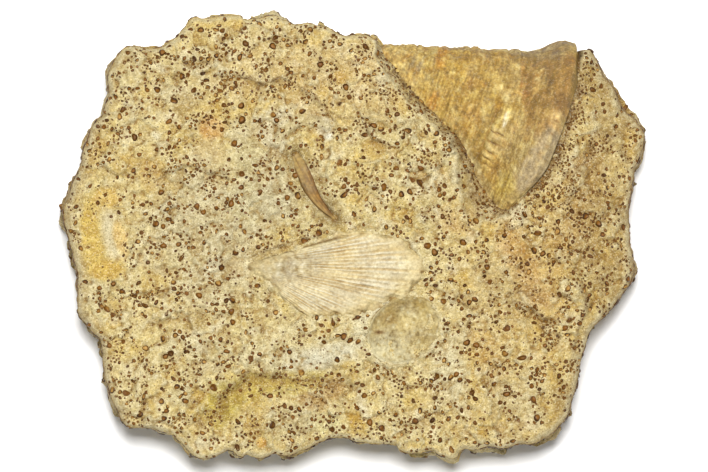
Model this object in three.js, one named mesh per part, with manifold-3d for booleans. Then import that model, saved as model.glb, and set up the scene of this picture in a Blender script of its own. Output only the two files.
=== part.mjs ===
// A broken block of grainy limestone with a cone-shaped sea snail, a fan-ribbed bivalve,
// a hollow oval valve and a sliver of curved shell set in its upper face.
// Millimetres, +Z up. The block rests on its flat underside at z = 0, centred on the origin.
import * as THREE from "three";
import { mergeVertices } from "three/addons/utils/BufferGeometryUtils.js";
import Module from "manifold-3d";

const wasm = await Module();
wasm.setup();

const RAD = Math.PI / 180;

// ---- block ----
const TOP_LEVEL = 40.0; // mean height of the upper face
const GRID = 37; // cells along one side of the upper face
const RIM = 0.955; // where the upper face rolls over, as a share of the outline
const FLANK = [
  // share of the outline, share of the rim's height
  [0.985, 0.86],
  [1.0, 0.62],
  [0.992, 0.4],
  [0.962, 0.18],
  [0.925, 0.05],
  [0.89, 0.0],
];

// ---- gaps between a shell and the stone it lies in ----
const SNAIL_GAP = 1.1;
const SHELL_GAP = 0.35;

// ---- snail ----
const APEX = [-1.75, 48.6, 28.2]; // buried point of the cone
const HEADING = 27.5 * RAD; // the axis runs towards +X and this far round to -Y
const DIP = 6 * RAD; // and this far down
const HALF_ANGLE = 25 * RAD;
const WHORL_RATIO = 0.755; // size of one whorl against the next
const LAST_SUTURE = 40.0; // along the axis, at the top of the shell
const RIM_TURN = 1.2; // the shell ends this many turns past the last suture
const SQUASH_TOP = 0.8; // the cone is flattened by the weight of the rock
const SQUASH_FOOT = 0.7;
const SWELLING = 2.7; // how far the last whorl stands proud of the cone

// ---- fan-ribbed shell ----
const BEAK = [-27.2, -6.9];
const RIBS = 28;
const RIBBED_THICK = 2.6;

// ---- oval shell ----
const OVAL = { at: [12.3, -23.5], half: [9.5, 7.8], turn: 35 * RAD, deep: 2.3, thick: 1.3 };

// ---- curved shell ----
const CURVED = [
  [-13.8, 21.2, 0.7],
  [-13.1, 18.2, 1.3],
  [-12.3, 15.2, 1.65],
  [-11.2, 12.2, 1.7],
  [-9.8, 9.6, 1.6],
  [-7.8, 7.2, 1.25],
  [-5.2, 4.9, 0.6],
]; // x, y, half width

// Outline of the block from above, anticlockwise from the right-hand side.
const OUTLINE = [
  [69.5, -0.4], [69.2, 6.6], [69.4, 9.4], [70.2, 13.9], [70.7, 17.4], [71.8, 19.2], [72.7, 21.6],
  [73.25, 25.0], [72.8, 26.9], [71.0, 29.4], [68.1, 31.5], [66.5, 34.8], [64.1, 39.2],
  [61.5, 43.4], [60.2, 46.3], [59.5, 47.0], [56.5, 46.7], [54.5, 45.6], [51.5, 46.4],
  [46.5, 45.8], [42.5, 45.1], [37.7, 45.4], [32.7, 44.9], [26.5, 45.4], [20.2, 46.1],
  [14.0, 46.6], [9.5, 46.8], [6.7, 47.9], [5.5, 49.3], [3.9, 50.2], [1.5, 50.5], [-2.1, 50.2],
  [-4.9, 51.3], [-7.3, 52.7], [-10.5, 53.4], [-14.7, 53.1], [-17.0, 54.4], [-20.3, 55.6],
  [-23.7, 54.6], [-27.9, 54.5], [-29.4, 55.7], [-36.0, 55.0], [-38.0, 54.6], [-40.2, 55.1],
  [-41.3, 54.6], [-42.7, 52.3], [-44.6, 50.1], [-47.5, 47.9], [-50.0, 47.2], [-53.6, 47.5],
  [-56.8, 47.8], [-58.8, 46.3], [-60.4, 44.1], [-62.0, 39.9], [-61.6, 37.0], [-62.3, 34.5],
  [-63.4, 30.1], [-64.8, 29.3], [-66.7, 25.1], [-68.4, 20.5], [-68.9, 17.5], [-71.1, 12.7],
  [-73.2, 6.0], [-72.9, 2.5], [-71.0, -3.4], [-69.6, -9.5], [-69.4, -14.6], [-69.5, -18.8],
  [-67.0, -22.3], [-63.9, -25.7], [-63.2, -31.0], [-62.6, -35.9], [-60.4, -42.1],
  [-58.0, -47.0], [-56.0, -48.1], [-50.2, -48.4], [-45.4, -49.8], [-41.8, -53.6],
  [-38.9, -55.8], [-35.2, -55.4], [-31.8, -53.7], [-30.4, -53.9], [-28.1, -55.4],
  [-27.0, -54.6], [-23.4, -55.9], [-20.4, -54.6], [-17.0, -55.2], [-13.1, -53.9],
  [-7.7, -51.5], [-3.5, -50.4], [0.7, -51.7], [6.9, -52.3], [10.7, -52.4], [12.2, -54.2],
  [16.5, -54.6], [20.0, -53.9], [24.8, -56.0], [26.4, -54.2], [28.0, -53.4], [33.6, -52.8],
  [36.5, -53.3], [41.9, -52.1], [45.7, -52.0], [50.2, -49.2], [53.0, -46.5], [54.8, -41.1],
  [56.5, -34.6], [58.6, -25.9], [61.5, -21.3], [66.1, -16.7], [69.8, -11.1], [70.7, -7.5],
];

// Hollows and swellings of the upper face: centre, half sizes, turn in degrees, lift.
const RELIEF = [
  { at: [-14.5, 20.5], size: [9, 13], turn: 20, lift: -1.5 },
  { at: [3.0, 17.0], size: [13, 11], turn: 0, lift: 1.1 },
  { at: [-34.5, -44.0], size: [6, 4.5], turn: 40, lift: -2.4 },
  { at: [-25.0, -37.5], size: [7, 3.8], turn: 25, lift: -2.6 },
  { at: [-13.0, -35.5], size: [7, 3.4], turn: -5, lift: -2.4 },
  { at: [-1.5, -39.5], size: [6, 3.6], turn: -45, lift: -2.2 },
  { at: [-15.5, -44.5], size: [10, 4], turn: 5, lift: 1.4 },
  { at: [-62.0, -0.5], size: [5.5, 10], turn: 0, lift: -1.6 },
  { at: [-37.5, 24.5], size: [5, 6], turn: 0, lift: -1.1 },
  { at: [7.0, 22.5], size: [5.5, 3.2], turn: -30, lift: -1.3 },
  { at: [14.0, 38.0], size: [4, 9], turn: 40, lift: 1.4 },
  { at: [26.0, 14.0], size: [5, 14], turn: 25, lift: 1.6 },
  { at: [36.0, 4.0], size: [6, 5], turn: 0, lift: 1.4 },
  { at: [50.0, 5.0], size: [10, 6], turn: 45, lift: -1.6 },
  { at: [45.0, -19.0], size: [8, 4], turn: -35, lift: -1.3 },
  { at: [-5.0, -26.0], size: [14, 5], turn: 8, lift: 0.7 },
];

const smooth = (a, b, v) => {
  const t = Math.min(1, Math.max(0, (v - a) / (b - a)));
  return t * t * (3 - 2 * t);
};

// Distance from the centre to the outline in one direction.
const reach = (theta) => {
  const dx = Math.cos(theta),
    dy = Math.sin(theta);
  let best = 0;
  OUTLINE.forEach(([ax, ay], i) => {
    const [bx, by] = OUTLINE[(i + 1) % OUTLINE.length];
    const ex = bx - ax,
      ey = by - ay,
      den = dx * ey - dy * ex;
    if (Math.abs(den) < 1e-9) return;
    const r = (ax * ey - ay * ex) / den,
      t = (ax * dy - ay * dx) / den;
    if (r > best && t >= -1e-6 && t <= 1 + 1e-6) best = r;
  });
  return best;
};

// Height of the stone's upper face.
const stoneHeight = (x, y) => {
  let h = TOP_LEVEL;
  h += 0.9 * Math.sin(x / 23 + 0.6) * Math.cos(y / 19 - 0.4);
  h += 0.5 * Math.sin(x / 9.5 - y / 13 + 1.1) + 0.3 * Math.sin(x / 5.1 + y / 6.3);
  h -= 8.5 * smooth(50, 76, x + 0.12 * y) + 2.5 * smooth(-58, -76, x);
  h -= 3.0 * smooth(34, 62, x) * smooth(-28, -52, y);
  for (const { at, size, turn, lift } of RELIEF) {
    const c = Math.cos(turn * RAD),
      s = Math.sin(turn * RAD);
    const u = ((x - at[0]) * c + (y - at[1]) * s) / size[0];
    const v = (-(x - at[0]) * s + (y - at[1]) * c) / size[1];
    h += lift * Math.exp(-(u * u + v * v));
  }
  return h;
};

const meshOf = (positions, faces) => {
  const g = new THREE.BufferGeometry();
  g.setAttribute("position", new THREE.Float32BufferAttribute(positions.flat(), 3));
  g.setIndex(faces.flat());
  return mergeVertices(g, 1e-4);
};
const solid = (g) =>
  new wasm.Manifold(
    new wasm.Mesh({
      numProp: 3,
      vertProperties: new Float32Array(g.getAttribute("position").array),
      triVerts: new Uint32Array(g.index.array),
    }),
  );
const fromSolid = (s) => {
  const m = s.getMesh(),
    g = new THREE.BufferGeometry();
  g.setAttribute("position", new THREE.BufferAttribute(m.vertProperties, m.numProp));
  g.setIndex(new THREE.BufferAttribute(m.triVerts, 1));
  return g;
};
// A closed body from its points and faces, turned to face out.
const body = (points, faces) => {
  const s = solid(meshOf(points, faces));
  return s.volume() > 0 ? s : solid(meshOf(points, faces.map(([a, b, c]) => [a, c, b])));
};
const biggest = (s) => s.decompose().sort((a, b) => b.volume() - a.volume())[0];

// The whole block before the shells are let into it: a round-cornered square of cells pressed
// out to the outline, with the flank and the flat underside below it.
const block = () => {
  const points = [],
    faces = [],
    index = (i, j) => i * (GRID + 1) + j;
  for (let i = 0; i <= GRID; i++)
    for (let j = 0; j <= GRID; j++) {
      const a = (2 * i) / GRID - 1,
        b = (2 * j) / GRID - 1;
      let rho = 0,
        theta = 0;
      if (Math.abs(a) > Math.abs(b)) [rho, theta] = [a, (Math.PI / 4) * (b / a)];
      else if (b !== 0) [rho, theta] = [b, Math.PI / 2 - (Math.PI / 4) * (a / b)];
      if (rho < 0) [rho, theta] = [-rho, theta + Math.PI];
      const r = rho * RIM * reach(theta),
        x = r * Math.cos(theta),
        y = r * Math.sin(theta);
      points.push([x, y, stoneHeight(x, y) - 2.6 * rho ** 10]);
    }
  for (let i = 0; i < GRID; i++)
    for (let j = 0; j < GRID; j++) {
      const [p, q, r, s] = [index(i, j), index(i + 1, j), index(i + 1, j + 1), index(i, j + 1)];
      if ((i + j) % 2) faces.push([p, q, r], [p, r, s]);
      else faces.push([p, q, s], [q, r, s]);
    }
  const edge = [];
  for (let j = 0; j < GRID; j++) edge.push(index(GRID, j));
  for (let i = GRID; i > 0; i--) edge.push(index(i, GRID));
  for (let j = GRID; j > 0; j--) edge.push(index(0, j));
  for (let i = 0; i < GRID; i++) edge.push(index(i, 0));
  const rimPoints = edge.map((k) => points[k]);
  let above = edge;
  FLANK.forEach(([share, level], ring) => {
    const here = rimPoints.map(([x, y, z], k) => {
      const theta = Math.atan2(y, x),
        free = ring === 1 || level === 0 ? 0 : 1;
      const rough = 0.007 * Math.sin(11 * theta + ring * 1.7) + 0.005 * Math.sin(23 * theta - ring);
      const under = 1.15 + 0.6 * Math.sin(3 * theta + 0.9) + 0.3 * Math.sin(8 * theta - 1.1);
      const held = 1 - (1 - share) * (ring > 1 ? under : 1);
      const f = ((held + free * rough) * Math.hypot(x, y)) / RIM;
      const wave = level && 0.05 * Math.sin(7 * theta + ring) + 0.04 * Math.sin(17 * theta + 2 * ring);
      const lift = level * (1 + wave * (k % 2 ? 1 : 0.8));
      points.push([f * Math.cos(theta), f * Math.sin(theta), lift * z]);
      return points.length - 1;
    });
    here.forEach((p, k) => {
      const n = (k + 1) % here.length;
      faces.push([above[k], p, here[n]], [above[k], here[n], above[n]]);
    });
    above = here;
  });
  points.push([0, 0, 0]);
  above.forEach((p, k) => faces.push([p, points.length - 1, above[(k + 1) % above.length]]));
  return body(points, faces);
};

// ---- the snail ----
const AXIS = [
  Math.cos(DIP) * Math.cos(HEADING),
  -Math.cos(DIP) * Math.sin(HEADING),
  -Math.sin(DIP),
];
const UP = [Math.sin(DIP) * Math.cos(HEADING), -Math.sin(DIP) * Math.sin(HEADING), Math.cos(DIP)];
const SIDE = [-Math.sin(HEADING), -Math.cos(HEADING), 0];
const squash = (phi) => (SQUASH_TOP + SQUASH_FOOT) / 2 + ((SQUASH_TOP - SQUASH_FOOT) / 2) * Math.cos(phi);
const alongAxis = (turn, phi) => LAST_SUTURE * WHORL_RATIO ** -(turn + phi / (2 * Math.PI));
const turnAt = (s, phi) => Math.log(s / LAST_SUTURE) / -Math.log(WHORL_RATIO) - phi / (2 * Math.PI);
// Towards its underside the last half turn is drawn in, so the shell ends nearly square.
const drawnIn = (turn, deg) =>
  turn > 0.84 ? 0.84 + (turn - 0.84) * (1 - 0.8 * smooth(60, 180, deg)) : turn;
const swelling = (s, phi) => {
  const t = turnAt(s, phi);
  const along = smooth(0.35, 0.95, t) * (1 - 0.75 * smooth(1.05, 1.24, t));
  return SWELLING * along * (0.5 + 0.5 * Math.cos(phi + 0.7));
};
const shellPoint = (s, phi, proud) => {
  const r = s * Math.tan(HALF_ANGLE) + swelling(s, phi) + proud,
    up = squash(phi) * r * Math.cos(phi),
    side = r * Math.sin(phi);
  return [0, 1, 2].map((k) => APEX[k] + AXIS[k] * s + UP[k] * up + SIDE[k] * side);
};

// One whorl's rows, from its suture towards the base: turn, rise against the axial distance.
const WHORL = [
  [0.0, -0.019],
  [0.1, 0.012],
  [0.27, -0.008],
  [0.55, -0.011],
  [0.84, 0.006],
];
const WHORLS_BUILT = 5;
const COLUMNS = [-180, -158, -137, -119, -106];
for (let k = 0; k <= 25; k++) COLUMNS.push(-97 + k * 6.2);
COLUMNS.push(70, 88, 109, 132, 156, 180);

const snail = () => {
  const rows = [
    [RIM_TURN, -0.006],
    [1.1, 0.012],
    [1.0, -0.008],
  ];
  for (let w = 0; w < WHORLS_BUILT; w++)
    for (let k = WHORL.length - 1; k >= 0; k--) rows.push([WHORL[k][0] - w, WHORL[k][1]]);
  rows.push([WHORL[4][0] - WHORLS_BUILT, WHORL[4][1]]);
  const last = COLUMNS.length - 1,
    step = WHORL.length;
  const points = [],
    faces = [],
    id = rows.map(() => []);
  rows.forEach(([turn, rise], k) =>
    COLUMNS.forEach((deg, j) => {
      if (j === last && k >= step) {
        id[k][j] = id[k - step][0];
        return;
      }
      const phi = deg * RAD;
      const s = alongAxis(drawnIn(turn, deg), phi);
      points.push(shellPoint(s, phi, rise * s));
      id[k][j] = points.length - 1;
    }),
  );
  for (let k = 0; k + 1 < rows.length; k++)
    for (let j = 0; j < last; j++) {
      const [a, b, c, d] = [id[k][j], id[k][j + 1], id[k + 1][j + 1], id[k + 1][j]];
      faces.push([a, b, c], [a, c, d]);
    }
  // base: from the rim row and the step where it meets itself, to a point on the axis
  const base = [];
  for (let j = 0; j <= last; j++) base.push(id[0][j]);
  for (let k = 1; k < step; k++) base.push(id[k][last]);
  points.push([0, 1, 2].map((k) => APEX[k] + AXIS[k] * 53));
  const hub = points.length - 1;
  base.forEach((p, k) => faces.push([p, hub, base[(k + 1) % base.length]]));
  // point of the cone
  const n = rows.length - 1,
    tip = [];
  for (let j = last; j >= 0; j--) tip.push(id[n][j]);
  for (let k = n - 1; k > n - step; k--) tip.push(id[k][0]);
  points.push([0, 1, 2].map((k) => APEX[k] + AXIS[k] * 1.5));
  const top = points.length - 1;
  tip.forEach((p, k) => faces.push([p, top, tip[(k + 1) % tip.length]]));
  let shell = body(points, faces);
  for (const { turn, from, to, count, size } of NODULES)
    for (let k = 0; k < count; k++) {
      const phi = (from + ((to - from) * k) / (count - 1)) * RAD,
        s = alongAxis(turn, phi);
      const out = shellPoint(s, phi, 0.25),
        ahead = shellPoint(s + 1, phi, 0.25);
      const lump = new THREE.IcosahedronGeometry(1, 0);
      lump.scale(size[0], size[1], size[2]);
      const x = new THREE.Vector3(...ahead).sub(new THREE.Vector3(...out)).normalize();
      const z = new THREE.Vector3(...shellPoint(s, phi, 1)).sub(new THREE.Vector3(...out));
      const y = new THREE.Vector3().crossVectors(z, x).normalize();
      z.crossVectors(x, y);
      lump.applyMatrix4(new THREE.Matrix4().makeBasis(x, y, z).setPosition(...out));
      lump.deleteAttribute("normal");
      lump.deleteAttribute("uv");
      shell = shell.add(solid(mergeVertices(lump, 1e-4)));
    }
  return shell;
};
// Rows of nodules below a suture: along the axis, around it, and outwards, in half sizes.
const NODULES = [
  { turn: 0.12, from: -30, to: 43, count: 12, size: [1.25, 0.8, 0.75] },
  { turn: 1.09, from: -24, to: 4, count: 5, size: [1.1, 0.85, 0.7] },
];

// The hollow the snail lies in: a plainer cone, everywhere clear of the shell.
const snailHollow = () => {
  const sides = 28;
  const points = [],
    faces = [];
  const rings = [6, 16, 27, null, null, null, null, null, null].map((s, n) =>
    Array.from({ length: sides }, (_, k) => {
      const deg = (k / sides) * 360 - 180,
        phi = deg * RAD,
        turn = [0.2, 0.5, 0.75, 0.95, 1.07, RIM_TURN][n - 3];
      const end = turn === RIM_TURN ? 0.7 + 10.8 * smooth(-150, -170, deg) : 0;
      const here = s ?? alongAxis(drawnIn(turn, deg), phi) + end;
      points.push(shellPoint(here, phi, SNAIL_GAP + 0.1));
      return points.length - 1;
    }),
  );
  rings.slice(1).forEach((ring, n) =>
    ring.forEach((p, k) => {
      const m = (k + 1) % sides;
      faces.push([rings[n][k], p, ring[m]], [rings[n][k], ring[m], rings[n][m]]);
    }),
  );
  points.push([0, 1, 2].map((k) => APEX[k] + AXIS[k] * -1.5));
  points.push([0, 1, 2].map((k) => APEX[k] + AXIS[k] * 54.2));
  const [tip, hub] = [points.length - 2, points.length - 1];
  for (let k = 0; k < sides; k++) {
    const m = (k + 1) % sides;
    faces.push([rings[0][m], tip, rings[0][k]], [rings.at(-1)[k], hub, rings.at(-1)[m]]);
  }
  return body(points, faces);
};

// Height of the snail's upper surface over a point of the plan.
const snailTop = (x, y) => {
  const l = (x - APEX[0]) * Math.cos(HEADING) - (y - APEX[1]) * Math.sin(HEADING);
  const side = (x - APEX[0]) * SIDE[0] + (y - APEX[1]) * SIDE[1];
  let s = l,
    up = 0,
    phi = 0;
  for (let k = 0; k < 8; k++) {
    const r = Math.max(0.5, s) * Math.tan(HALF_ANGLE) + swelling(Math.max(1, s), phi);
    phi = Math.asin(Math.max(-1, Math.min(1, side / r)));
    up = squash(phi) * r * Math.cos(phi);
    s = (l - up * Math.sin(DIP)) / Math.cos(DIP);
  }
  return APEX[2] - s * Math.sin(DIP) + up * Math.cos(DIP);
};

// The opening through which the snail shows. Each corner: x, y, and how far the stone's wall
// leans back from the shell at that corner.
const OPENING = [
  [5.9, 60, 0], [6.6, 48.3, 0.1], [7.6, 45.9, 0.28], [9.9, 43.1, 0.32], [12.3, 39.5, 0.34],
  [15.5, 35.4, 0.36], [18.7, 32.3, 0.36], [21.8, 29.3, 0.36], [25.6, 25.4, 0.36],
  [27.7, 22.2, 0.34], [29.3, 18.8, 0.32], [31.0, 14.6, 0.3], [33.4, 10.0, 0.3],
  [36.1, 7.7, 0.26], [38.3, 6.6, 0.2], [40.6, 7.6, 0.1], [43.6, 11.2, 0.1],
  [47.0, 14.9, 0.1], [49.7, 18.9, 0.1], [51.9, 23.7, 0.1], [53.6, 29.0, 0.1],
  [55.1, 33.8, 0.1], [56.6, 38.5, 0.08], [57.0, 42.5, 0.05], [57.0, 46.7, 0], [57.0, 60, 0],
];
const opening = () => {
  const n = OPENING.length,
    points = [],
    faces = [];
  const ring = (z) =>
    OPENING.map(([x, y, lean], k) => {
      const [px, py] = OPENING[(k + n - 1) % n],
        [qx, qy] = OPENING[(k + 1) % n];
      const length = Math.hypot(qx - px, qy - py),
        nx = (qy - py) / length,
        ny = -(qx - px) / length;
      const l = Math.min(56, Math.max(0, (x - APEX[0]) * AXIS[0] + (y - APEX[1]) * AXIS[1]));
      const outside = y > 47 && (k === 0 || k === n - 1);
      const foot = outside ? 15 : APEX[2] - l * Math.sin(DIP) + 1.0;
      const shell = outside ? 30 : snailTop(x, y);
      const height = z ?? foot;
      const d = lean * (height - shell);
      points.push([x + nx * d, y + ny * d, height]);
      return points.length - 1;
    });
  const low = ring(null),
    high = ring(56);
  for (let k = 0; k < n; k++) {
    const m = (k + 1) % n;
    faces.push([low[k], low[m], high[m]], [low[k], high[m], high[k]]);
  }
  for (const [loop, flip] of [
    [low, true],
    [high, false],
  ]) {
    const flat = loop.map((k) => new THREE.Vector2(points[k][0], points[k][1]));
    for (const [a, b, c] of THREE.ShapeUtils.triangulateShape(flat, []))
      faces.push(flip ? [loop[a], loop[c], loop[b]] : [loop[a], loop[b], loop[c]]);
  }
  return body(points, faces);
};

// ---- shells with an upright edge: a top surface over a polar grid, and a flat or even foot ----
// rows runs outwards; place(row, column) gives x, y and z of the top.
const tile = (rows, columns, closed, place, foot) => {
  const points = [],
    faces = [],
    at = [];
  for (let i = 0; i <= rows; i++) {
    at.push([]);
    for (let j = 0; j < columns + (closed ? 0 : 1); j++) {
      points.push(place(i / rows, j / columns));
      at[i].push(points.length - 1);
    }
  }
  const wide = at[0].length,
    cells = closed ? wide : wide - 1;
  for (let i = 0; i < rows; i++)
    for (let j = 0; j < cells; j++) {
      const m = (j + 1) % wide;
      faces.push([at[i][j], at[i + 1][j], at[i + 1][m]], [at[i][j], at[i + 1][m], at[i][m]]);
    }
  let loop = [...at[rows]];
  if (closed) {
    const hub = [0, 1, 2].map((c) => at[0].reduce((v, k) => v + points[k][c], 0) / wide);
    points.push(hub);
    const n = points.length - 1;
    at[0].forEach((k, j) => faces.push([n, k, at[0][(j + 1) % wide]]));
  } else {
    for (let i = rows - 1; i > 0; i--) loop.push(at[i][wide - 1]);
    for (let j = wide - 1; j >= 0; j--) loop.push(at[0][j]);
    for (let i = 1; i < rows; i++) loop.push(at[i][0]);
  }
  const under = loop.map((k) => {
    const [x, y, z] = points[k];
    points.push(foot(x, y, z));
    return points.length - 1;
  });
  loop.forEach((k, n) => {
    const m = (n + 1) % loop.length;
    faces.push([k, under[n], under[m]], [k, under[m], loop[m]]);
  });
  const mid = under.reduce((s, k) => s.map((v, c) => v + points[k][c] / under.length), [0, 0, 0]);
  if (!closed) mid[0] += 4;
  points.push(foot(mid[0], mid[1], mid[2]));
  under.forEach((k, n) => faces.push([k, points.length - 1, under[(n + 1) % under.length]]));
  return body(points, faces);
};

// Fan-ribbed shell: direction from the beak in degrees, and how far the shell reaches there.
const FAN = [
  [-44, 11.5], [-40, 18.8], [-36, 22.6], [-32, 25.2], [-28, 28.2], [-24, 31.0], [-20, 34.0],
  [-16, 36.2], [-12, 40.0], [-8, 43.2], [-4, 44.8], [0, 45.0], [4, 43.9], [8, 41.2],
  [12, 35.5], [16, 29.5], [20, 23.0],
];
const fanReach = (deg) => {
  const k = FAN.findIndex(([a], n) => n === FAN.length - 2 || deg <= FAN[n + 1][0]);
  const [[a, ra], [b, rb]] = [FAN[k], FAN[k + 1]];
  return ra + ((rb - ra) * (deg - a)) / (b - a);
};
const FAN_FROM = FAN[0][0],
  FAN_TO = FAN.at(-1)[0];
const ribbed = (grow, height) =>
  tile(
    5,
    grow ? 16 : RIBS * 2,
    false,
    (out, across) => {
      const deg = FAN_FROM + (FAN_TO - FAN_FROM) * across,
        far = fanReach(deg),
        r = grow ? 0.9 + (far + grow - 0.9) * out : 1.6 + (far - 1.6) * out;
      const push = grow ? (across - 0.5) * 2 * grow * 1.4 : 0;
      const x = BEAK[0] + r * Math.cos(deg * RAD) - push * Math.sin(deg * RAD) - (grow ? 0.2 : 0);
      const y = BEAK[1] + r * Math.sin(deg * RAD) + push * Math.cos(deg * RAD);
      if (height) return [x, y, height];
      const dome = 1.2 * Math.sin(Math.PI * out ** 0.7) * Math.sin(Math.PI * across) ** 0.6;
      const sunk = 0.7 * smooth(0.86, 1, across) * (1 - smooth(0.6, 1, out));
      const rib = 0.17 * smooth(0.1, 0.45, out) * Math.cos(2 * Math.PI * RIBS * across);
      return [x, y, stoneHeight(x, y) + 0.1 + dome - sunk - rib];
    },
    (x, y) => [x, y, TOP_LEVEL - RIBBED_THICK - (grow ? 0.4 : 0)],
  );

// Oval shell: a shallow dish, hollow upwards.
const oval = (grow, height) =>
  tile(
    4,
    24,
    true,
    (out, across) => {
      const a = across * 2 * Math.PI,
        k = Math.max(0.08, out),
        c = Math.cos(OVAL.turn),
        s = Math.sin(OVAL.turn);
      const u = (OVAL.half[0] + grow) * k * Math.cos(a),
        v = (OVAL.half[1] + grow) * k * Math.sin(a);
      const x = OVAL.at[0] + u * c - v * s,
        y = OVAL.at[1] + u * s + v * c;
      if (height) return [x, y, height];
      const bowl = OVAL.deep * (1 - k ** 2.4);
      return [x, y, stoneHeight(x, y) - 0.2 - bowl];
    },
    (x, y) => [x, y, TOP_LEVEL - OVAL.deep - OVAL.thick - 0.6 - (grow ? 0.4 : 0)],
  );

// Curved shell: a bent sliver, highest along its middle.
const curved = (grow, height) => {
  const points = [],
    faces = [],
    rings = CURVED.map(([x, y, half], k) => {
      const [px, py] = CURVED[Math.max(0, k - 1)],
        [qx, qy] = CURVED[Math.min(CURVED.length - 1, k + 1)];
      const d = Math.hypot(qx - px, qy - py),
        tx = (qx - px) / d,
        ty = (qy - py) / d;
      const end = k === 0 ? -grow : k === CURVED.length - 1 ? grow : 0;
      const bottom = TOP_LEVEL - 4.4 - (grow ? 0.4 : 0);
      const line = [-1, -0.5, 0, 0.5, 1].map((f) => {
        const w = f * (half + grow * 1.05);
        const px2 = x + tx * end - ty * w,
          py2 = y + ty * end + tx * w;
        const crown = 0.7 * (1 - f * f) - 0.35 * f * -1 - 0.5;
        points.push([px2, py2, height ?? stoneHeight(px2, py2) + crown]);
        return points.length - 1;
      });
      for (const f of [1, -1]) {
        const w = f * (half + grow * 1.05);
        points.push([x + tx * end - ty * w, y + ty * end + tx * w, bottom]);
        line.push(points.length - 1);
      }
      return line;
    });
  rings.slice(1).forEach((ring, n) =>
    ring.forEach((p, k) => {
      const m = (k + 1) % ring.length;
      faces.push([rings[n][k], rings[n][m], ring[m]], [rings[n][k], ring[m], p]);
    }),
  );
  const fan = (ring, flip) => {
    for (let k = 1; k + 1 < ring.length; k++)
      faces.push(flip ? [ring[0], ring[k + 1], ring[k]] : [ring[0], ring[k], ring[k + 1]]);
  };
  fan(rings[0], true);
  fan(rings.at(-1), false);
  return body(points, faces);
};

const stone = biggest(
  block()
    .subtract(snailHollow())
    .subtract(opening())
    .subtract(ribbed(SHELL_GAP, 60))
    .subtract(oval(SHELL_GAP, 60))
    .subtract(curved(SHELL_GAP, 60)),
);

const group = new THREE.Group();
const add = (name, form, colour, roughness) => {
  const material = new THREE.MeshStandardMaterial({ color: colour, roughness, flatShading: true });
  const mesh = new THREE.Mesh(fromSolid(form), material);
  mesh.name = name;
  group.add(mesh);
};
add("matrix", stone, 0xd3bf8c, 0.95);
add("snail_shell", snail(), 0xb3873f, 0.8);
add("ribbed_shell", biggest(ribbed(0, 0).subtract(oval(SHELL_GAP, 60))), 0xdccda6, 0.85);
add("oval_shell", oval(0, 0), 0xb9ab84, 0.85);
add("curved_shell", curved(0), 0x9c7238, 0.8);

export default group;
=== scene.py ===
"""A broken block of grainy limestone with a cone-shaped sea snail and three smaller shells.

The block rests on z = 0, its longest side runs along X, and the fossils look up. Lengths are
millimetres until a mesh is made.
"""

import logging
import math
from dataclasses import dataclass, field
from enum import Enum

import bpy
import numpy as np
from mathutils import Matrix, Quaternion, Vector
from mathutils.kdtree import KDTree


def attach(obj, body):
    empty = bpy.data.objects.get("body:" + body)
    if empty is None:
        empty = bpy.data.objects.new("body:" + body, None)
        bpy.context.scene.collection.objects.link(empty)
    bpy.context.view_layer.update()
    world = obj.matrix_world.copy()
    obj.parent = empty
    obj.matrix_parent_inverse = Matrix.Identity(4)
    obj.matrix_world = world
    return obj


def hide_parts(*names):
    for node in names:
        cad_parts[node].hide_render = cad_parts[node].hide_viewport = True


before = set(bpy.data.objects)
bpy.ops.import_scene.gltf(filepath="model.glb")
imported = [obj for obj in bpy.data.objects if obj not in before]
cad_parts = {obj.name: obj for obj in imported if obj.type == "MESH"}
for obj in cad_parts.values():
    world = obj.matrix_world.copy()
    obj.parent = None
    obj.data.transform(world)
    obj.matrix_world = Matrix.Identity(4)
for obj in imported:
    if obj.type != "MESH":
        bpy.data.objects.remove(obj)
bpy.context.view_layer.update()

Array = np.ndarray
Socket = bpy.types.NodeSocket
MM = 0.001
PIGMENT = 0.66  # share of full light that the palest colour sends back
UV_MARGIN = 0.01
LARGE_GRAIN = 0.42  # radius from which a grain has all its rings
TURN = 2 * math.pi
log = logging.getLogger("fossil_block")


# ---- small tools


def smooth(start: float, end: float, value: Array) -> Array:
    """A soft step from 0 at start to 1 at end."""
    t = np.clip((np.asarray(value, float) - start) / (end - start), 0, 1)
    return t * t * (3 - 2 * t)


def past(value: Array, level: float) -> Array:
    """How far a value lies past a level, held from 0 to 1."""
    return np.clip(value - level, 0, 1)


def hump(value: Array, centre: float, width: float) -> Array:
    """A soft hump, 1 high at its centre."""
    return np.exp(-(((value - centre) / width) ** 2))


def soft_min(a: Array, b: Array, blend: float) -> Array:
    """The smaller of a and b, with a round corner about blend wide where they cross."""
    h = np.clip(0.5 + 0.5 * (b - a) / blend, 0, 1)
    return b + (a - b) * h - blend * h * (1 - h)


def hue(code: str) -> Array:
    """A colour code of six hex digits as three shares of full light, still gamma-coded."""
    return np.array([int(code[k : k + 2], 16) / 255 for k in (0, 2, 4)])


def to_linear(colour: Array) -> Array:
    """Gamma-coded colours as linear light."""
    colour = np.clip(colour, 0, 1)
    return np.where(colour <= 0.04045, colour / 12.92, ((colour + 0.055) / 1.055) ** 2.4)


def column(*parts: Array) -> Array:
    """Separate coordinates as rows of points."""
    return np.stack(np.broadcast_arrays(*parts), axis=-1)


def turned(x: Array, y: Array, at: tuple, size: tuple, turn: float) -> tuple[Array, Array]:
    """Places as seen from a patch: from its centre, along its own sides, in its half sizes.

    Args:
        x: First coordinates.
        y: Second coordinates.
        at: The patch's centre.
        size: Its half sizes.
        turn: Its turn in degrees.

    Returns:
        How far along and how far across each place lies, 1 on the patch's edge.
    """
    c, s = math.cos(math.radians(turn)), math.sin(math.radians(turn))
    return ((x - at[0]) * c + (y - at[1]) * s) / size[0], ((y - at[1]) * c - (x - at[0]) * s) / size[1]


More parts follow.
